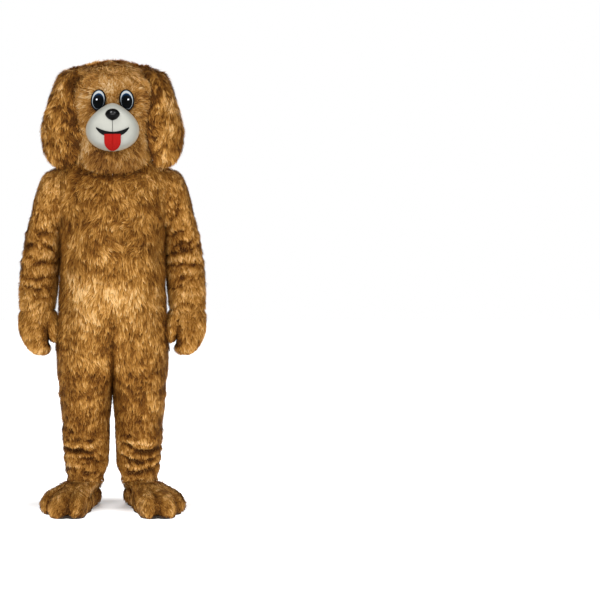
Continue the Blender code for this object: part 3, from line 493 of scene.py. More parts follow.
# Plants, combs and clumps the locks of every panel.
def furTree(lock):
    tree = bpy.data.node_groups.new("furPile", "GeometryNodeTree")
    node, link = nodeMaker(tree), tree.links.new
    tree.interface.new_socket("Skin", in_out="INPUT", socket_type="NodeSocketGeometry")
    for name, kind, value in furInputs:
        tree.interface.new_socket(name, in_out="INPUT", socket_type="NodeSocket" + kind).default_value = value
    tree.interface.new_socket("Finish", in_out="INPUT", socket_type="NodeSocketMaterial")
    tree.interface.new_socket("Pile", in_out="OUTPUT", socket_type="NodeSocketGeometry")

    def maths(operation, a, b=0.0):
        return node("ShaderNodeMath", {0: a, 1: b}, operation=operation).outputs[0]

    def plus(a, b):
        return maths("ADD", a, b)

    def times(a, b):
        return maths("MULTIPLY", a, b)

    def vectors(operation, a, b=(0.0, 0.0, 0.0)):
        return vectorMaths(node, operation, a, b)

    def onSurface(vector, normal):
        return vectors("SUBTRACT", vector, vectors("SCALE", normal, vectors("DOT_PRODUCT", vector, normal)))

    def random(low, high, shift):
        return node("FunctionNodeRandomValue", {"Min_001": low, "Max_001": high, "Seed": plus(seed, shift)},
                    data_type="FLOAT").outputs[1]

    def named(name):
        made = node("GeometryNodeInputNamedAttribute", {"Name": name}, data_type="FLOAT")
        return next(s for s in made.outputs if s.enabled)

    given = node("NodeGroupInput").outputs
    seed = given["Seed"]
    plant = node("GeometryNodeDistributePointsOnFaces",
                 {"Mesh": given["Skin"], "Density": times(given["Locks per m2"], named("cover")), "Seed": seed})
    normal, place = plant.outputs["Normal"], node("GeometryNodeInputPosition").outputs[0]

    swirl = node("ShaderNodeTexNoise", {"Vector": place, "Scale": given["Swirls per m"], "Detail": 2.0})
    comb = vectors("SCALE", vectors("SUBTRACT", swirl.outputs["Color"], (0.5, 0.5, 0.5)),
                   times(given["Swirl"], named("loose")))
    outward = vectors("NORMALIZE", vectors("SUBTRACT", place, given["Away from"]))
    comb = vectors("ADD", comb, vectors("SCALE", outward, given["Away"]))
    comb = vectors("NORMALIZE", onSurface(vectors("ADD", comb, given["Comb"]), normal))

    stir = node("ShaderNodeTexNoise", {"Vector": place, "Scale": 40.0})
    stirred = vectors("ADD", place, vectors("SCALE", stir.outputs["Color"], 0.02))
    clump = node("ShaderNodeTexVoronoi", {"Vector": stirred, "Scale": given["Clumps per m"]})
    pull = vectors("SUBTRACT", clump.outputs["Position"], stirred)
    pull = vectors("SCALE", onSurface(pull, normal), maths("DIVIDE", given["Pull"], given["Length"]))
    stray = node("FunctionNodeRandomValue", {"Min": (-0.16, -0.16, -0.16), "Max": (0.16, 0.16, 0.16), "Seed": seed},
                 data_type="FLOAT_VECTOR").outputs[0]
    lie = vectors("NORMALIZE", onSurface(vectors("ADD", vectors("ADD", comb, pull), stray), normal))
    lift = times(given["Lift"], random(0.45, 1.5, 1.0))
    turn = node("FunctionNodeAxesToRotation",
                {"Primary Axis": vectors("ADD", lie, vectors("SCALE", normal, lift)), "Secondary Axis": normal},
                primary_axis="Y", secondary_axis="Z")
    length = times(times(given["Length"], named("pile")), random(0.7, 1.25, 2.0))
    width = times(given["Width"], random(0.6, 1.4, 3.0))
    size = node("ShaderNodeCombineXYZ", {"X": width, "Y": length, "Z": length})

    patch = node("ShaderNodeTexNoise", {"Vector": place, "Scale": 14.0, "Detail": 3.0, "Roughness": 0.6})
    cell = node("ShaderNodeSeparateXYZ", {"Vector": clump.outputs["Color"]})
    # The shade attribute shifts each lock's tone: partly the fur's own tone, partly painted shade and painted light.
    tone = plus(given["Tone"], named("shade"))
    for value, share in ((patch.outputs[0], times(given["Patch tone"], 2.0)),
                         (cell.outputs[0], given["Clump tone"]), (random(0.0, 1.0, 4.0), given["Lock tone"])):
        tone = plus(tone, times(maths("SUBTRACT", value, 0.5), share))
    tone = node("ShaderNodeClamp", {"Value": tone, "Min": 0.03, "Max": 0.97}).outputs[0]
    points = plant.outputs["Points"]
    toned = node("GeometryNodeStoreNamedAttribute", {"Geometry": points, "Name": "tone", "Value": tone},
                 data_type="FLOAT", domain="POINT")
    leaf = node("GeometryNodeObjectInfo", {"Object": lock}).outputs["Geometry"]
    locks = node("GeometryNodeInstanceOnPoints", {"Points": toned.outputs[0], "Instance": leaf,
                                                  "Rotation": turn.outputs[0], "Scale": size.outputs[0]})
    real = node("GeometryNodeRealizeInstances", {"Geometry": locks.outputs[0]})
    across = times(maths("SUBTRACT", named("across"), 0.5), 0.01)
    spot = node("ShaderNodeCombineXYZ", {"X": plus(named("tone"), across),
                                         "Y": plus(times(named("along"), 0.94), 0.03)})
    mapped = node("GeometryNodeStoreNamedAttribute",
                  {"Geometry": real.outputs[0], "Name": "OFBake", "Value": spot.outputs[0]},
                  data_type="FLOAT2", domain="CORNER")
    done = node("GeometryNodeSetMaterial", {"Geometry": mapped.outputs[0], "Material": given["Finish"]})
    link(done.outputs[0], node("NodeGroupOutput").inputs[0])
    return tree


lock = lockObject()
pileTree = furTree(lock)
print("fur nodes made")


# Points in mm from the floor become metres from the neck opening, and a right piece is the mirrored left one.
def meshObject(name, points, faces, material):
    side = -1 if name.endswith("_right") else 1
    places = (np.asarray(points, float).reshape(-1, 3) * (side, 1, 1) - (0, 0, mountHeight)) / 1000
    faces = [tuple(int(i) for i in face[::side]) for face in faces]
    mesh = bpy.data.meshes.new(name)
    mesh.from_pydata(places.tolist(), [], faces)
    mesh.shade_smooth()
    mesh.materials.append(material)
    made = bpy.data.objects.new(name, mesh)
    bpy.context.scene.collection.objects.link(made)
    return made


def gridFaces(rows, columns, start=0, inward=False):
    a = (np.arange(rows - 1)[:, None] * columns + np.arange(columns - 1)).ravel() + start
    faces = np.stack([a, a + 1, a + columns + 1, a + columns], 1)
    return faces[:, ::-1] if inward else faces


# One closed wall between an outer and an inner grid of points.
def wallObject(name, outer, inner, material):
    rows, columns = outer.shape[:2]
    half = rows * columns
    index = np.arange(half).reshape(rows, columns)
    rim = np.concatenate([index[:-1, 0], index[-1, :-1], index[:0:-1, -1], index[0, :0:-1]])
    after = np.roll(rim, -1)
    faces = list(gridFaces(rows, columns)) + list(gridFaces(rows, columns, half, True))
    faces += list(np.stack([rim, after, half + after, half + rim], 1))
    made = meshObject(name, np.concatenate([outer.reshape(-1, 3), inner.reshape(-1, 3)]), faces, material)
    made.data.set_sharp_from_angle(angle=math.radians(50))
    return made


# Grows the locks of one skin, a grid of points whose faces look outwards.
def growFur(name, skin, settings, finish=fur, slot="fur", pile=1.0, cover=1.0, shade=0.0, loose=1.0):
    rows, columns = skin.shape[:2]
    soil = meshObject(name, skin, gridFaces(rows, columns), finish)
    for attribute, values in (("pile", pile), ("cover", cover), ("shade", shade), ("loose", loose)):
        values = np.ascontiguousarray(np.broadcast_to(values, (rows, columns)), float).ravel()
        soil.data.attributes.new(attribute, "FLOAT", "POINT").data.foreach_set("value", values)
    modifier = soil.modifiers.new("pile", "NODES")
    modifier.node_group = pileTree
    values = {**settings, "Finish": finish, "Seed": sum(map(ord, name)) * 7 % 9973}
    if name.endswith("_right") and "Comb" in values:
        values["Comb"] = (-values["Comb"][0], *values["Comb"][1:])
    for item in pileTree.interface.items_tree:
        if item.in_out == "INPUT" and item.name in values:
            modifier[item.identifier] = values[item.name]
    shape = bpy.data.meshes.new_from_object(soil.evaluated_get(bpy.context.evaluated_depsgraph_get()))
    soil.modifiers.remove(modifier)
    soil.data = shape
    for attribute in ("along", "across", "tone", "pile", "cover", "shade", "loose"):
        if attribute in shape.attributes:
            shape.attributes.remove(shape.attributes[attribute])
    setOn(soil, slot)


# A panel's points, their outward directions and their angles, row by row.
def gridPlaces(surface, rows, low, high, columns, step, outwards=1):
    rows = np.asarray(rows, float)[:, None]
    low, high = (np.broadcast_to(edge, len(rows))[:, None] for edge in (low, high))
    shares = np.linspace(0, 1, columns) if isinstance(columns, int) else columns
    phi = low + (high - low) * shares
    place = surface(phi, rows)
    across = surface(phi + 0.02, rows) - surface(phi - 0.02, rows)
    up = surface(phi, rows + step) - surface(phi, rows - step)
    normal = np.cross(across, up) * outwards
    return place, normal / np.maximum(np.linalg.norm(normal, axis=-1, keepdims=True), 1e-9), phi


# Moves a skin inwards, but not past its side seam or its limits across.
def sunk(place, normal, depth, keepX, seam=0):
    inward = place - normal * np.broadcast_to(depth, place.shape[:2])[..., None]
    if seam:
        near, far = (np.maximum, np.minimum) if seam < 0 else (np.minimum, np.maximum)
        edge = near(inward[:, 0, 1], inward[:, -1, 1])[:, None] + seam * seamGap / 2
        inward[..., 1] = far(inward[..., 1], edge)
    inward[..., 0] = np.clip(inward[..., 0], *keepX)
    return inward


# A fur panel: the cloth is a thin sheet and the pile stands on it.
def panel(node, grid, settings, finish=fur, slot="fur", seam=0, keepX=(0.15, 1000), flip=False, raised=0.0,
          pile=1.0, cover=1.0, shade=0.0, loose=1.0, below=None):
    place, normal, phi = grid
    grown = [np.broadcast_to(values, phi.shape)[:, ::-1 if flip else 1] for values in (pile, cover, shade, loose)]
    outer = sunk(place, normal, settings["sunk"] - raised, keepX, seam)
    inner = sunk(place, normal, settings["sunk"] - raised + settings["cloth"], keepX, seam)
    if flip:
        outer, inner = outer[:, ::-1], inner[:, ::-1]
    sheet = wallObject("cloth_" + node, outer, inner, backing)
    setOn(sheet, slot, node)
    if below:  # the pile also grows on a lap under the first edge
        drop, inwards = below
        lap = outer[:1] - normal[:1, ::-1 if flip else 1] * inwards - np.array([0, 0, drop])
        outer = np.concatenate([lap, outer])
        grown = [np.concatenate([values[:1], values]) for values in grown]
    growFur("pile_" + node, outer, settings["fur"], finish, slot, *grown)


# Even rows over spans of start, end and count.
def rowsOf(*spans):
    rows = [np.linspace(start, end, count, endpoint=False) for start, end, count in spans]
    return np.concatenate(rows + [[spans[-1][1]]])


# Rows that stand closer near a rounded tip.
def tipRows(low, high, count):
    return low + (high - low) * (1 - np.cos(math.pi / 2 * np.arange(count + 1) / count))


suit = {"sunk": 9.0, "cloth": 2.4,  # mm below the solid's surface, mm thick
        "rows": ((128, 330, 50), (330, 560, 24), (560, 805, 16), (805, 1150, 18), (1150, 1390, 16), (1390, 1420, 4)),
        "fur": {"Locks per m2": 70000.0, "Length": 0.025, "Width": 0.0034, "Lift": 0.38},
        "front": {"Patch tone": 0.52, "Clump tone": 0.42},
        "back": {"Patch tone": 0.32, "Clump tone": 0.3, "Locks per m2": 66000.0}}
torsoTones = [  # middle x, z, half width, half height, how much lighter
    (-64, 1155, 30, 12, -0.12), (99, 1135, 25, 14, -0.12), (-41, 968, 30, 15, -0.18), (80, 948, 42, 13, -0.16),
    (-142, 1291, 9, 42, -0.2), (142, 1280, 9, 36, -0.12), (-111, 1057, 32, 25, 0.09), (21, 1077, 28, 24, 0.12),
    (-68, 1299, 42, 16, 0.08), (60, 1230, 40, 18, 0.06), (-95, 875, 85, 95, 0.25), (88, 880, 85, 75, 0.24),
    (-10, 880, 75, 85, 0.2), (-105, 765, 55, 50, 0.17), (40, 1010, 40, 16, 0.08), (-27, 668, 16, 40, -0.12),
    (90, 760, 55, 40, 0.12), (-150, 930, 30, 40, 0.08), (0, 1390, 90, 16, -0.14),
]
nearMiddle = np.linspace(0, 1, 36) ** 1.6  # columns stand closer where the legs meet
rows = rowsOf(*suit["rows"])
for name, frontSide, seam in (("suit_front", True, -1), ("suit_back", False, 1)):
    low, high = suitEdges(rows, frontSide)
    shares = nearMiddle if frontSide else 1 - nearMiddle[::-1]
    for side in sides:
        folds = legFolds[side] if frontSide else legBackFolds
        place, normal, phi = gridPlaces(lambda phi, z: suitSurface(phi, z, folds), rows, low, high, shares, 1.5)
        x, y, z = np.moveaxis(place, -1, 0)
        normal[..., 0] *= 1 - ease(z, 440, 80) * ease(x, 8.2, -8)  # the halves meet at the middle
        creased = legDepth(phi, z, folds)
        beside = ease(x, 190, 15) * ease(z, 1180, -40) * ease(z, 640, 40)
        sideSeam = 0.3 * bell(y - sideSeamY, 5) * ease(x, 100, 20) * ease(z, 880, -40)
        ankle, hem = ease(z, 350, -50), bell(z - 124, 30)
        inLeg = ease(x, 62, -25) * ease(z, 640, -60)
        nape = bell(x - 155, 22) * ease(z, 1375, 20)
        raised = (12 * beside - 13 * hem + 8 * nape + 5 * inLeg + 5 * ease(z, 1385, 20) + 6 * ankle
                  + 7 * ease(x, 165, 40) * ease(z, 1150, 30))
        pile = 1 - 0.2 * ease(z, 720, -60) - 0.2 * ankle - 0.3 * hem
        if frontSide:
            creased = creased + 0.9 * centreCrease(x, z)
            signed = x if side == "_left" else -x
            # Painted shadow: a dark arc on the chest under the jaw's fur.
            jawShadow = np.exp(-((z - 1360 - 30 * (x / 130) ** 2) / 13) ** 2) * ease(x, 150, -20)
            patches = sum(tone * np.exp(-((signed - midX) / wide) ** 2 - ((z - midZ) / tall) ** 2)
                          for midX, midZ, wide, tall, tone in torsoTones)
            # Painted shade: darker in the creases, along the middle crease and beside the arm; painted light on the
            # ridges between creases.
            shade = (patches - 0.036 * creased * (1 + 0.5 * ankle) + 0.03 * ankle - 0.4 * jawShadow - 0.25 * beside
                     + 0.06 * ease(x, 175, 30) * ease(z, 1180, 40))
            loose = 0.8 + 0.6 * ease(z, 950, 150)
        else:
            closed = ease(z, 780, 15)
            closing = bell(x, 4) * closed
            # Painted shadow round the tail on the seat.
            tailShadow = ease(x, 78, -14) * ease(z, 765, -30) * ease(z, 470, 40)
            # Painted shade: darker beside the arm, in the creases and in a band just under the head.
            shade = 0.24 - 0.25 * beside - 0.045 * creased - 0.4 * closing - 0.4 * tailShadow - 0.12 * bell(z - 1395, 22)
            pile = pile * (0.8 - 0.35 * bell(x, 9) * closed)
            loose = 0.7
        panel(name + side, (place, normal, phi), {**suit, "fur": {**suit["fur"], **suit[name[5:]]}}, seam=seam,
              keepX=(seamGap / 2, sideLimit(rows)[:, None] + 4 * beside), raised=raised, pile=pile, below=(10, 9),
              cover=0.8 + 0.2 * ankle, shade=shade - sideSeam, loose=loose)
print("suit made")

sleeve = {"sunk": 7.0, "cloth": 2.4,
          "fur": {"Locks per m2": 80000.0, "Length": 0.018, "Width": 0.0031, "Lift": 0.38,
                  "Comb": (0.1, -0.1, -1.0), "Patch tone": 0.42, "Clump tone": 0.42}}
rows = rowsOf((0, 5, 25), (5, 13, 89))
ring = rows[:, None]
for name, start, seam in (("sleeve_front", -math.pi / 2, -1), ("sleeve_back", math.pi / 2, 1)):
    for side in sides:
        folds = sleeveFolds[side] if seam < 0 else []
        grid = gridPlaces(lambda phi, ring: sleeveSurface(phi, ring, folds), rows, start, start + math.pi, 28,
                          0.03, -1)
        creased = sleeveDepth(grid[2], ring, folds)
        hem = bell(ring - 13, 0.14)
        underarm = np.clip(-np.sin(grid[2]), 0, 1) ** 2 * ease(ring, 0, 2.5)
        # Painted shade in the folds and at the wrist crease; painted light on the ridges between folds.
        panel(name + side, grid, sleeve, seam=seam, keepX=(armSeamX + seamGap / 2, 1000), flip=True,
              raised=7 * ease(ring, 2.5, -2.5) + 11 * underarm - 2 * hem,
              shade=0.11 - (0.048 if seam < 0 else 0.034) * creased - 0.06 * hem - 0.08 * ease(ring, 1.2, -1.2))
print("sleeves made")

mitt = {"sunk": 6.5, "cloth": 2.0, "parted": 676, "cuff": 813.4, "tone": 0.1,
        "fur": {"Locks per m2": 80000.0, "Length": 0.02, "Width": 0.0034, "Lift": 0.32}}
for tube, table, limits, count, lowZ, raised in (
        ("mitt_", handAt, lambda z: (thumbSeamX + seamGap / 2 - np.maximum(684 - z, 0), 1000), 26, 630, 0),
        ("thumb_", thumbAt, lambda z: (-1000, thumbSeamX - seamGap / 2), 22, 686.5, 6)):
    rows = tipRows(lowZ, mitt["cuff"], count)
    z = rows[:, None]
    for half, start, seam in (("back", -math.pi / 2, -1), ("palm", math.pi / 2, 1)):
        grid = gridPlaces(tubeSurface(table, limits), rows, start, start + math.pi, 18, 0.6)
        fromSeam = np.abs(grid[0][..., 0] - thumbSeamX)
        parting = np.clip(fromSeam / 6, 0, 1) + (z < mitt["parted"])
        grid[1][..., 0] *= np.minimum(parting, 1)  # hand and thumb stay against each other
        # Painted shade: darker at the cuff and in the cleft between thumb and hand.
        cuff = bell(z - 813, 8)
        cleft = np.clip(1.25 - fromSeam / 14, 0, 1) * (z > mitt["parted"]) * ease(z, 795, -50)
        for side in sides:
            panel(tube + half + side, grid, mitt, seam=seam, keepX=limits(z), raised=raised - 3 * cuff,
                  shade=mitt["tone"] - 0.08 * cuff - 0.5 * cleft, pile=1 - 0.5 * cleft)
print("mitts made")

foot = {"sunk": 5.5, "cloth": 2.0, "rings": 37, "halfTurn": math.radians(100),
        "fur": {"Locks per m2": 90000.0, "Length": 0.017, "Width": 0.003, "Lift": 0.3, "Swirl": 3.0,
                "Comb": (0.2, -0.6, -0.6)}}
sole = {"inset": 17.0, "top": 10.8}
trim = seamGap / 150
t = np.linspace(-1, 1, 61)
toeAngles = toeOut + (foot["halfTurn"] - trim) * (0.45 * t + 0.55 * t ** 3)
heelAngles = np.linspace(toeOut + foot["halfTurn"] + trim, toeOut + 2 * math.pi - foot["halfTurn"] - trim, 26)
ring = np.linspace(0, 9, foot["rings"])[:, None]
for name, angles in (("foot_toes", toeAngles), ("foot_heel", heelAngles)):
    grid = gridPlaces(footSurface, ring[:, 0], 0.0, 1.0, angles, 0.1)
    # Painted shade in the grooves between the toes.
    cleft = toeGroove(grid[2]) * ease(ring, 7.2, -2)
    instep = ease(ring, 3.5, 1.5) * ease(ring, 7.8, -0.8)
    for side in sides:
        panel(name + side, grid, foot, keepX=(seamGap, 1000), raised=2.5 * ease(ring, 3, -1) + 8 * instep,
              pile=(1 - 0.025 * cleft) * (1 + 0.3 * ease(ring, 5.5, 1.5)), cover=np.where(ring < 8.2, 1.0, 0.0),
              shade=0.1 - 0.025 * cleft - 0.1 * ease(ring, 1, -1) + 0.07 * ease(ring, 4, 1.5))

angles = np.concatenate([toeAngles, heelAngles, toeAngles[:1]])
reach = footReach(angles) - sole["inset"]
edge = np.stack([anklePlace[0] + reach * np.sin(angles), anklePlace[1] - reach * np.cos(angles)], -1)
middle = np.broadcast_to(edge[:-1].mean(0), edge.shape)
bottom, top = (np.stack([np.concatenate([middle + (edge - middle) * share, np.full((len(edge), 1), z)], 1)
                         for share in (0.02, 0.5, 1.0)]) for z in (0.0, sole["top"]))
for side in sides:
    setOn(wallObject("rubber_sole" + side, top, bottom, soleRubber), "sole", "sole" + side)
print("feet made")

# The tail: two stuffed halves, each an oval's half with a flat side.
tail = {"sunk": 5.0, "fill": 0.7, "low": 486.0, "high": 750.0, "rows": 30, "columns": 20,
        "fur": {"Locks per m2": 85000.0, "Length": 0.014, "Width": 0.003, "Lift": 0.34, "Tone": 0.56,
                "Patch tone": 0.3}}
rows = tipRows(tail["low"], tail["high"], tail["rows"])
halfX, near, far = tailAt(rows)
near = near - 8 * ease(rows, 560, 80)  # the root lies against the seat
turn = np.linspace(0, math.pi, tail["columns"])
halfX = np.maximum(halfX - tail["sunk"], 0.5)[:, None]
halfY = np.maximum((far - near) / 2 - tail["sunk"], 0.5)[:, None]
skin = np.stack([seamGap / 2 + halfX * np.sin(turn), ((near + far) / 2)[:, None] - halfY * np.cos(turn),
                 rows[:, None] + 0 * turn], -1)
count, columns = skin.shape[:2]
first = np.arange(count - 1) * columns
faces = list(gridFaces(count, columns))
faces += list(np.stack([first + columns, first + 2 * columns - 1, first + columns - 1, first], 1))
faces += [tuple(range((count - 1) * columns, count * columns)), tuple(range(columns - 1, -1, -1))]
for side in sides:
    stuffed = meshObject("cloth_tail" + side, skin, faces, backing)
    setOn(stuffed, "fur", "tail" + side)
    # Darker along both seams, and darker along the sides by painted shade.
    growFur("pile_tail" + side, skin, tail["fur"],
            shade=0.08 - 0.2 * (bell(turn, 0.16) + bell(math.pi - turn, 0.16)) - 0.25 * bell(turn - 1.5, 0.25))
print("tail made")

crown = {"sunk": 10.0, "cloth": 2.4,
         "rows": ((1370, 1510, 12), (1510, 1720, 18), (1720, 1761.7, 5), (1761.7, faceTop, 1), (faceTop, 1820, 12)),
         "fur": {"Locks per m2": 70000.0, "Length": 0.03, "Width": 0.0038, "Lift": 0.42, "Comb": (-0.15, 0.25, -0.9),
                 "Swirl": 3.4, "Patch tone": 0.42}}
rows = rowsOf(*crown["rows"])
grid = gridPlaces(headSurface, rows, faceEdge(rows) + np.where(rows < faceTop, 0.001, 0), math.pi, 40, 1.5)
x, y, z = np.moveaxis(grid[0], -1, 0)
behind = ease(y, 20, 80)
for side in sides:
    panel("head_crown" + side, grid, crown, keepX=(seamGap / 2, 1000), raised=11 * ease(z, 1775, 30),
          pile=(1 + 0.8 * ease(z, 1480, -80)) * (1 - 0.45 * behind), loose=1 - 0.7 * behind,
          shade=0.2 - 0.16 * behind - 0.2 * bell(x, 5) * behind - 0.25 * behind * ease(z, 1405, -25))

muzzleSize = {"middle": 1532.0, "half": 107.0, "up": 101.0, "down": 86.0, "deep": 82.0}
eyes = {"x": 56.2, "z": 1648.0, "halfX": 30.5, "halfZ": 42.0, "lean": -math.radians(6),
        "bare": (56, 29.5, 41.5)}  # x, half width and half height of the spot without fur


def muzzleWidth(up):
    up = np.clip(up, 0, 1) ** 2
    return muzzleSize["half"] * (1 - 0.38 * up - 0.07 * up * up)


# Where a point seen from the front lies in the muzzle: 0 in its middle, 1 on its rim.
def muzzleShare(x, z):
    up = (z - muzzleSize["middle"]) / np.where(z > muzzleSize["middle"], muzzleSize["up"], muzzleSize["down"])
    return np.hypot(x / muzzleWidth(up), up)


# How far a point seen from the front lies outside the muzzle and the eyes, in mm.
def clearOfFace(x, z):
    midX, halfX, halfZ = eyes["bare"]
    beside = (np.hypot((np.abs(x) - midX) / halfX, (z - eyes["z"]) / halfZ) - 1) * 33
    return np.minimum((muzzleShare(x, z) - 1) * 85, beside)


face = {"sunk": 10.0, "cloth": 2.4,
        "fur": {"Locks per m2": 90000.0, "Length": 0.03, "Width": 0.003, "Lift": 0.28, "Tone": 0.47,
                "Clump tone": 0.26, "Lock tone": 0.22, "Comb": (0.0, 0.0, -0.55),
                "Away from": (0.0, -0.2, 0.16), "Away": 1.0}}
rows = rows[rows < faceTop - 0.1]
grid = gridPlaces(headSurface, rows, 0.001 - faceEdge(rows), faceEdge(rows) - 0.001, 46, 1.5)
x, z = grid[0][..., 0], grid[0][..., 2]
clear = clearOfFace(x, z)
forehead = np.exp(-(x / 95) ** 4 - ((z - 1690) / 62) ** 4)
# Painted shade: the face is darker towards its sides, next to the ears.
panel("head_face", grid, face, finish=paleFur, slot="pale_fur", keepX=(-1000, 1000), cover=(clear > -4).astype(float),
      pile=(0.45 + 0.55 * ease(clear, 0, 35)) * (1 - 0.6 * forehead) * (1 - 0.35 * ease(z, 1410, -30)),
      shade=0.12 * forehead - 0.03 * ease(z, 1500, -60) - 0.09 - 0.2 * ease(np.abs(x), 128, 20))
print("head made")

# The ears: each a stuffed outer and inner half, thin at the rim.
ear = {"sunk": 9.0, "fill": 0.6, "rim": 5.0, "columns": 26,
       "fur": {"Locks per m2": 72000.0, "Length": 0.027, "Width": 0.0034, "Lift": 0.4, "Swirl": 3.0, "Tone": 0.46,
               "Patch tone": 0.8, "Clump tone": 0.55, "Comb": (0.0, 0.0, -0.9)},
       "inner": {"Length": 0.03, "Lift": 0.6, "Locks per m2": 30000.0}}
rows = [tipRows(1398, 1468, 12), np.linspace(1476, 1740, 30), 1802 - tipRows(0, 55, 12)[::-1]]
rows = np.concatenate(rows)[:, None]
ends = 1 - np.stack([np.clip(rows - 1768, 0, 33.5) / 34, np.clip(1430 - rows, 0, 31.5) / 32]) ** 2
ends = np.sqrt(ends[0] * ends[1])
across = np.sin(math.pi * np.linspace(-0.5, 0.5, ear["columns"]))
space, thick, front, back = earAt(rows)
front, back = front + ear["sunk"], back - ear["sunk"]
back = np.maximum(back, front + 4)
y = (front + back) / 2 + (back - front) / 2 * across
swell = (1 - np.abs(across) ** 2.4) ** 0.55
puff = (ear["rim"] + np.maximum(thick - ear["rim"] - 1.2 * ear["sunk"], 2) * swell) * ends
seamX = headHalfX(y, rows) + space + (ear["rim"] + (thick - ear["rim"]) * swell) * 0.38


def stack(x):
    return np.stack([x, y, rows + 0 * y], -1)


halves = {"outer": (stack(seamX + puff * 0.62), stack(seamX + seamGap / 2)),
          "inner": (stack(seamX - seamGap / 2), stack(seamX - puff * 0.38))}
edge = halves["outer"][0]
lap = [edge[:, :1] - np.stack([inwards * ends, forwards + 0 * ends, 0 * ends], -1)
       for inwards, forwards in ((13.0, 1.0), (5.0, 2.5))]
lapped = np.concatenate([*lap, edge], 1)
fromFront = ease(np.arange(lapped.shape[1]), 6, -6)
for side in sides:
    for part, (outer, inner) in halves.items():
        stuffed = wallObject("cloth_ear_" + part + side, outer, inner, backing)
        setOn(stuffed, "fur", "ear_" + part + side)
    # Painted shade along the ear's front edge, next to the face.
    growFur("pile_ear_outer" + side, lapped, ear["fur"], loose=1 + 0.8 * fromFront, shade=0.02 - 0.4 * fromFront)
    growFur("pile_ear_inner" + side, halves["inner"][1][:, ::-1], {**ear["fur"], **ear["inner"]})
print("ears made")


def muzzleBase(x, z):
    return faceY(x, z) - 14 * ease(z, 1550, 45)


def muzzleFront(x, z):
    away = np.minimum(muzzleShare(x, z), 1)
    return muzzleBase(x, z) - 8 - muzzleSize["deep"] * (1 - away ** 2.3) ** (1 / 1.9)


def muzzleOutline(angle):
    across, up = np.sin(angle), np.cos(angle)
    return muzzleWidth(up) * across, np.where(up < 0, muzzleSize["down"], muzzleSize["up"]) * up


def ovalOutline(halfX, halfZ, lean=0.0, taper=0.0):
    def outline(angle):
        dx, dz = halfX * np.sin(angle), halfZ * np.cos(angle)
        dx = dx * (1 - taper * np.maximum(-np.cos(angle), 0) ** 1.2)
        return dx * math.cos(lean) + dz * math.sin(lean), dz * math.cos(lean) - dx * math.sin(lean)
    return outline


# A dome over a base: how far its rim stands off, its height, and how far down its side the rim lies.
def domed(base, lift, height=0, inward=1.0):
    return lambda x, z, share: base(x, z) - lift - height * np.sqrt(1 - (share * inward) ** 2)


# A domed plate seen from the front. Its "share" attribute is 0 in the middle and 1 at the rim.
def plateObject(name, centre, outline, rings, turns, back, front, finish):
    share = np.sin(math.pi / 2 * np.arange(1, rings + 1) / rings)[:, None]
    dx, dz = outline(2 * math.pi * np.arange(turns) / turns)
    x, z = centre[0] + dx * share, centre[1] + dz * share
    points = []
    for side in (back, front):
        points.append([[centre[0], float(side(*np.array(centre, float), 0.0)), centre[1]]])
        points.append(np.stack([x, side(x, z, share), z], -1).reshape(-1, 3))
    half = 1 + rings * turns
    i = np.arange(turns)
    j = (i + 1) % turns
    faces = list(np.stack([0 * i, 1 + i, 1 + j], 1)) + list(np.stack([half + 0 * i, half + 1 + j, half + 1 + i], 1))
    for inner in range(1, half - turns, turns):
        a, b = inner + i, inner + j
        faces += list(np.stack([a, a + turns, b + turns, b], 1))
        faces += list(np.stack([half + a, half + b, half + b + turns, half + a + turns], 1))
    a, b = half - turns + i, half - turns + j
    faces += list(np.stack([a, half + a, half + b, b], 1))
    made = meshObject(name, np.concatenate(points), faces, finish)
    made.data.set_sharp_from_angle(angle=math.radians(60))
    shares = np.tile(np.concatenate([[0.0], np.repeat(share[:, 0], turns)]), 2)
    made.data.attributes.new("share", "FLOAT", "POINT").data.foreach_set("value", shares)
    return made


# A thin wall on the muzzle, between two depths over a grid of places.
def muzzleWall(name, x, z, outer, inner, finish):
    return wallObject(name, np.stack([x, outer, z], -1), np.stack([x, inner, z], -1), finish)


def shareOf(node):
    return node("ShaderNodeAttribute", attribute_name="share").outputs["Fac"]


def ranged(node, value, low, high, least, most):
    return node("ShaderNodeMapRange", {"Value": value, "From Min": low, "From Max": high,
                                       "To Min": least, "To Max": most}).outputs["Result"]


shell, shader, node, link, _ = newMaterial("muzzleShell", 0.42, Specular_IOR_Level=0.4, Coat_Weight=0.1)
# Painted shade: a greyer band on the flanks near the rim; the very edge is lighter and warmer again.
creamWithShade = ramp(node, shareOf(node), [(0.0, (0.43, 0.43, 0.385)), (0.7, (0.42, 0.42, 0.372)),
                                   (0.88, (0.33, 0.335, 0.3)), (0.95, (0.38, 0.37, 0.315)), (1.0, (0.4, 0.35, 0.26))])
place = ownPlace(node)
height = node("ShaderNodeSeparateXYZ", {0: place}).outputs["Z"]
lowShade = ranged(node, height, 0.05, 0.16, 0.82, 1.0)  # painted shade, darker low down
link(vectorMaths(node, "SCALE", creamWithShade, lowShade), shader.inputs["Base Color"])
bump(node, link, shader, grain(node, place, 420.0, 2.0), 0.15, 0.0008)

glossBlack, shader, node, link, paint = newMaterial("glossBlack", 0.4, Specular_IOR_Level=0.03, Coat_Roughness=0.12)
place = ownPlace(node)
paint(grain(node, place, 300.0, 2.0), [(0.3, (0.001, 0.001, 0.001)), (0.8, (0.003, 0.003, 0.003))])
flat = vectorMaths(node, "MULTIPLY", place, (1.0, 0.0, 1.4))
far = vectorMaths(node, "DISTANCE", flat, (0.0, 0.0, 0.187 * 1.4))
link(ranged(node, far, 0.007, 0.013, 1.0, 0.05), shader.inputs["Coat Weight"])  # painted glint: coat only on a small spot in the middle of the nose, to place the lamps' reflection there

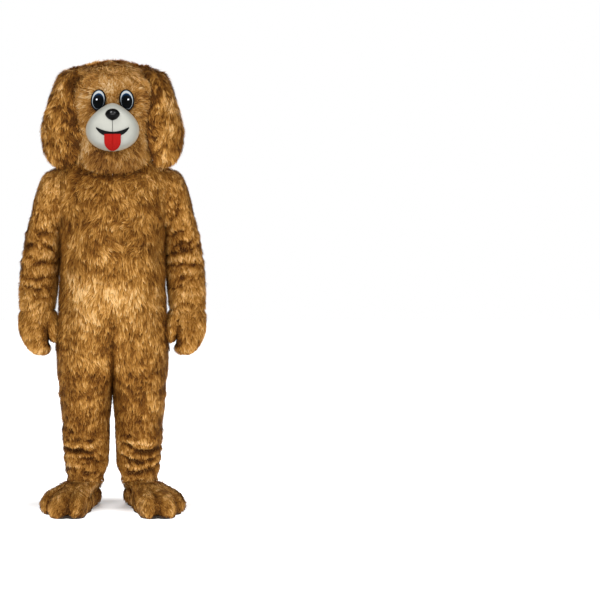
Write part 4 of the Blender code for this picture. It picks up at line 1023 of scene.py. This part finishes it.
eyeWhite, _, node, _, paint = newMaterial("eyeWhite", 0.35, Specular_IOR_Level=0.15)
paint(shareOf(node), [(0.0, (0.42, 0.43, 0.42)), (0.9, (0.4, 0.42, 0.43)), (0.98, (0.27, 0.32, 0.36)),
                      (1.0, (0.05, 0.07, 0.09))])
eyeDark, _, node, _, paint = newMaterial("eyeDark", 0.4, Specular_IOR_Level=0.03)
height = node("ShaderNodeSeparateXYZ", {0: ownPlace(node)}).outputs["Z"]
upper = ranged(node, height, 0.245, 0.266, 0.72, 1.0)  # the blue rim fades towards the top
blue = node("ShaderNodeMath", {0: shareOf(node), 1: upper}, operation="MULTIPLY")
paint(blue.outputs[0], [(0.0, (0.001, 0.001, 0.001)), (0.66, (0.001, 0.002, 0.003)), (0.84, (0.004, 0.014, 0.036)),
                        (0.97, (0.01, 0.045, 0.11)), (1.0, (0.014, 0.06, 0.13))])
eyeSpark, _, node, _, paint = newMaterial("eyeSpark", 0.2)
paint(shareOf(node), [(0.0, (1, 1, 1)), (1.0, (0.85, 0.9, 1))])

muzzle = plateObject("muzzle_shell", (0, muzzleSize["middle"]), muzzleOutline, 28, 96,
                     domed(muzzleBase, 2.1), domed(muzzleFront, 0), shell)
setOn(muzzle, "white_shell", "muzzle")
noseSize = {"z": 1583, "halfX": 28.5, "halfZ": 22.8, "taper": 0.25, "dome": 22}
nose = plateObject("nose_button", (0, noseSize["z"]),
                   ovalOutline(noseSize["halfX"], noseSize["halfZ"], 0, noseSize["taper"]), 14, 48,
                   domed(muzzleFront, 2.5), domed(muzzleFront, 5, noseSize["dome"]), glossBlack)
setOn(nose, "black", "nose")

smile = {"half": 64.5, "drop": 20.0, "cornerZ": 1537.0, "thin": 5.5, "thick": 13.5, "proud": 2.4}
share = np.linspace(1, -1, 41)
thick = smile["thin"] + smile["thick"] * (1 - np.abs(share) ** 5)
z = (smile["cornerZ"] - smile["drop"] * (1 - share ** 2)) - thick * np.linspace(0, 1, 7)[:, None]
x = np.broadcast_to(smile["half"] * share, z.shape)
base = muzzleFront(x, z)
setOn(muzzleWall("mouth_line", x, z, base - smile["proud"], base - 1.2, feltBlack), "black", "mouth")

lipLine = {"half": 0.8, "low": 1509, "high": 1560}  # the thin line from the nose to the mouth
z = np.linspace(lipLine["low"], lipLine["high"], 24)[::-1, None]
x = np.linspace(lipLine["half"], -lipLine["half"], 5) + 0 * z
z = z + 0 * x
base = muzzleFront(x, z)
setOn(muzzleWall("philtrum_line", x, z, base - 1.2 + 0.15 * x ** 2, base + 0.4, feltBlack), "black")

tongueSize = {"half": 32.5, "top": 1508.0, "tip": 1446.5, "thick": 4.5}
fall = np.sin(math.pi / 2 * np.linspace(0, 1, 25))[:, None]
half = tongueSize["half"] * np.maximum(1 - np.maximum(fall - 0.45, 0) ** 2 / 0.55 ** 2, 0.02) ** 0.5
x = half * np.cos(math.pi * np.linspace(0, 1, 33))
z = tongueSize["top"] + (tongueSize["tip"] - tongueSize["top"]) * fall + 0 * x
rim = np.clip((half - np.abs(x)) / 6, 0, 1)
base = muzzleFront(x, z) - 3
grooves = 3.2 * bell(x, 2.2) * (fall < 0.86) + 1.6 * bell(x, 7)
front = base - tongueSize["thick"] - 3 * np.sqrt(1 - (1 - rim) ** 2) + grooves
setOn(muzzleWall("tongue_felt", x, z, front, base, feltRed), "red_felt", "tongue")

eyePlates = [  # name, finish, slot, its solids, offset in x and z, smaller by, back and front dome
    ("eye_outline", feltBlack, "black", ["eye_rim"], (0, 0), (0, 0), (-3, 0), (4, 6)),
    ("eye_ring", eyeWhite, "eye_white", ["eye_white"], (0, 0), (5.8, 5.4), (5, 6, 0.95), (7, 6, 0.95)),
    ("eye_pupil", eyeDark, "eye_dark", ["eye_dark"], (0, -5.2), (8.4, 11.4), (8, 6, 0.8), (10, 6, 0.8)),
    ("eye_spark", eyeSpark, "eye_white", [], (6.0, 0.5), (27.2, 38.8), (15, 0), (16, 1.2)),
]
for side in sides:
    for name, finish, slot, solids, (dx, dz), (lessX, lessZ), back, front in eyePlates:
        plate = plateObject(name + side, (eyes["x"] + dx, eyes["z"] + dz),
                            ovalOutline(eyes["halfX"] - lessX, eyes["halfZ"] - lessZ, eyes["lean"]), 10, 56,
                            domed(faceY, *back), domed(faceY, *front), finish)
        setOn(plate, slot, *(solid + side for solid in solids))
print("face made")

bpy.data.objects.remove(lock)

# Stage, light and camera: places in metres, powers in watts.
studio = {"floor": -1.4002, "half": 9, "sky": 0.42, "shadow": (0, 0.04, 0), "stretch": (0.22, 1, 0),
          "camera": (0, -4.6, -0.25), "lens": 67.3, "shift": (0.3125, -0.123), "aim": -0.3,
          "lamps": (("key", (-1.6, -3.2, 2.2), 2.0, 110), ("fill", (2.6, -2.6, 1.2), 2.4, 60),
                    ("back", (0.5, 3.2, 2.4), 2.5, 80))}
scene = bpy.context.scene
paleFloor, shader, node, link, _ = newMaterial("paleFloor", 0.8)
shader.inputs["Base Color"].default_value = (0.8, 0.8, 0.8, 1)
shader.inputs["Emission Color"].default_value = (1, 1, 1, 1)
# Painted shadow: the floor glows white except in an oval round the feet, where its glow drops; the glow also lights
# the costume.
away = vectorMaths(node, "SUBTRACT", ownPlace(node), studio["shadow"])
reach = vectorMaths(node, "LENGTH", vectorMaths(node, "MULTIPLY", away, studio["stretch"]))
link(ranged(node, reach, 0.06, 0.17, 0.1, 1.0), shader.inputs["Emission Strength"])
mesh = bpy.data.meshes.new("floor")
mesh.from_pydata([(x * studio["half"], y * studio["half"], studio["floor"])
                  for x, y in ((-1, -1), (1, -1), (1, 1), (-1, 1))], [], [(0, 1, 2, 3)])
mesh.materials.append(paleFloor)
floor = bpy.data.objects.new("floor", mesh)
scene.collection.objects.link(floor)

world = bpy.data.worlds.new("studio")
scene.world = world
world.use_nodes = True
background = world.node_tree.nodes["Background"]
background.inputs["Color"].default_value = (1, 1, 1, 1)
node = nodeMaker(world.node_tree)
seen = node("ShaderNodeLightPath").outputs["Is Camera Ray"]  # white behind, dimmer as a light
world.node_tree.links.new(ranged(node, seen, 0.0, 1.0, studio["sky"], 1.0), background.inputs["Strength"])
for name, place, size, power in studio["lamps"]:
    lamp = bpy.data.lights.new(name, "AREA")
    lamp.size, lamp.energy = size, power
    lit = bpy.data.objects.new(name, lamp)
    lit.location = place
    across, back, up = np.array(place) - (0, 0, studio["aim"])
    lit.rotation_euler = (math.atan2(math.hypot(across, back), up), 0, math.atan2(-back, -across) - math.pi / 2)
    scene.collection.objects.link(lit)

view = bpy.data.cameras.new("camera")
view.lens, view.sensor_width = studio["lens"], 36
view.shift_x, view.shift_y = studio["shift"]
camera = bpy.data.objects.new("camera", view)
camera.location = studio["camera"]
camera.rotation_euler = (math.pi / 2, 0, 0)
scene.collection.objects.link(camera)
scene.camera = camera
scene.view_settings.view_transform = "Standard"
print("stage and camera made")
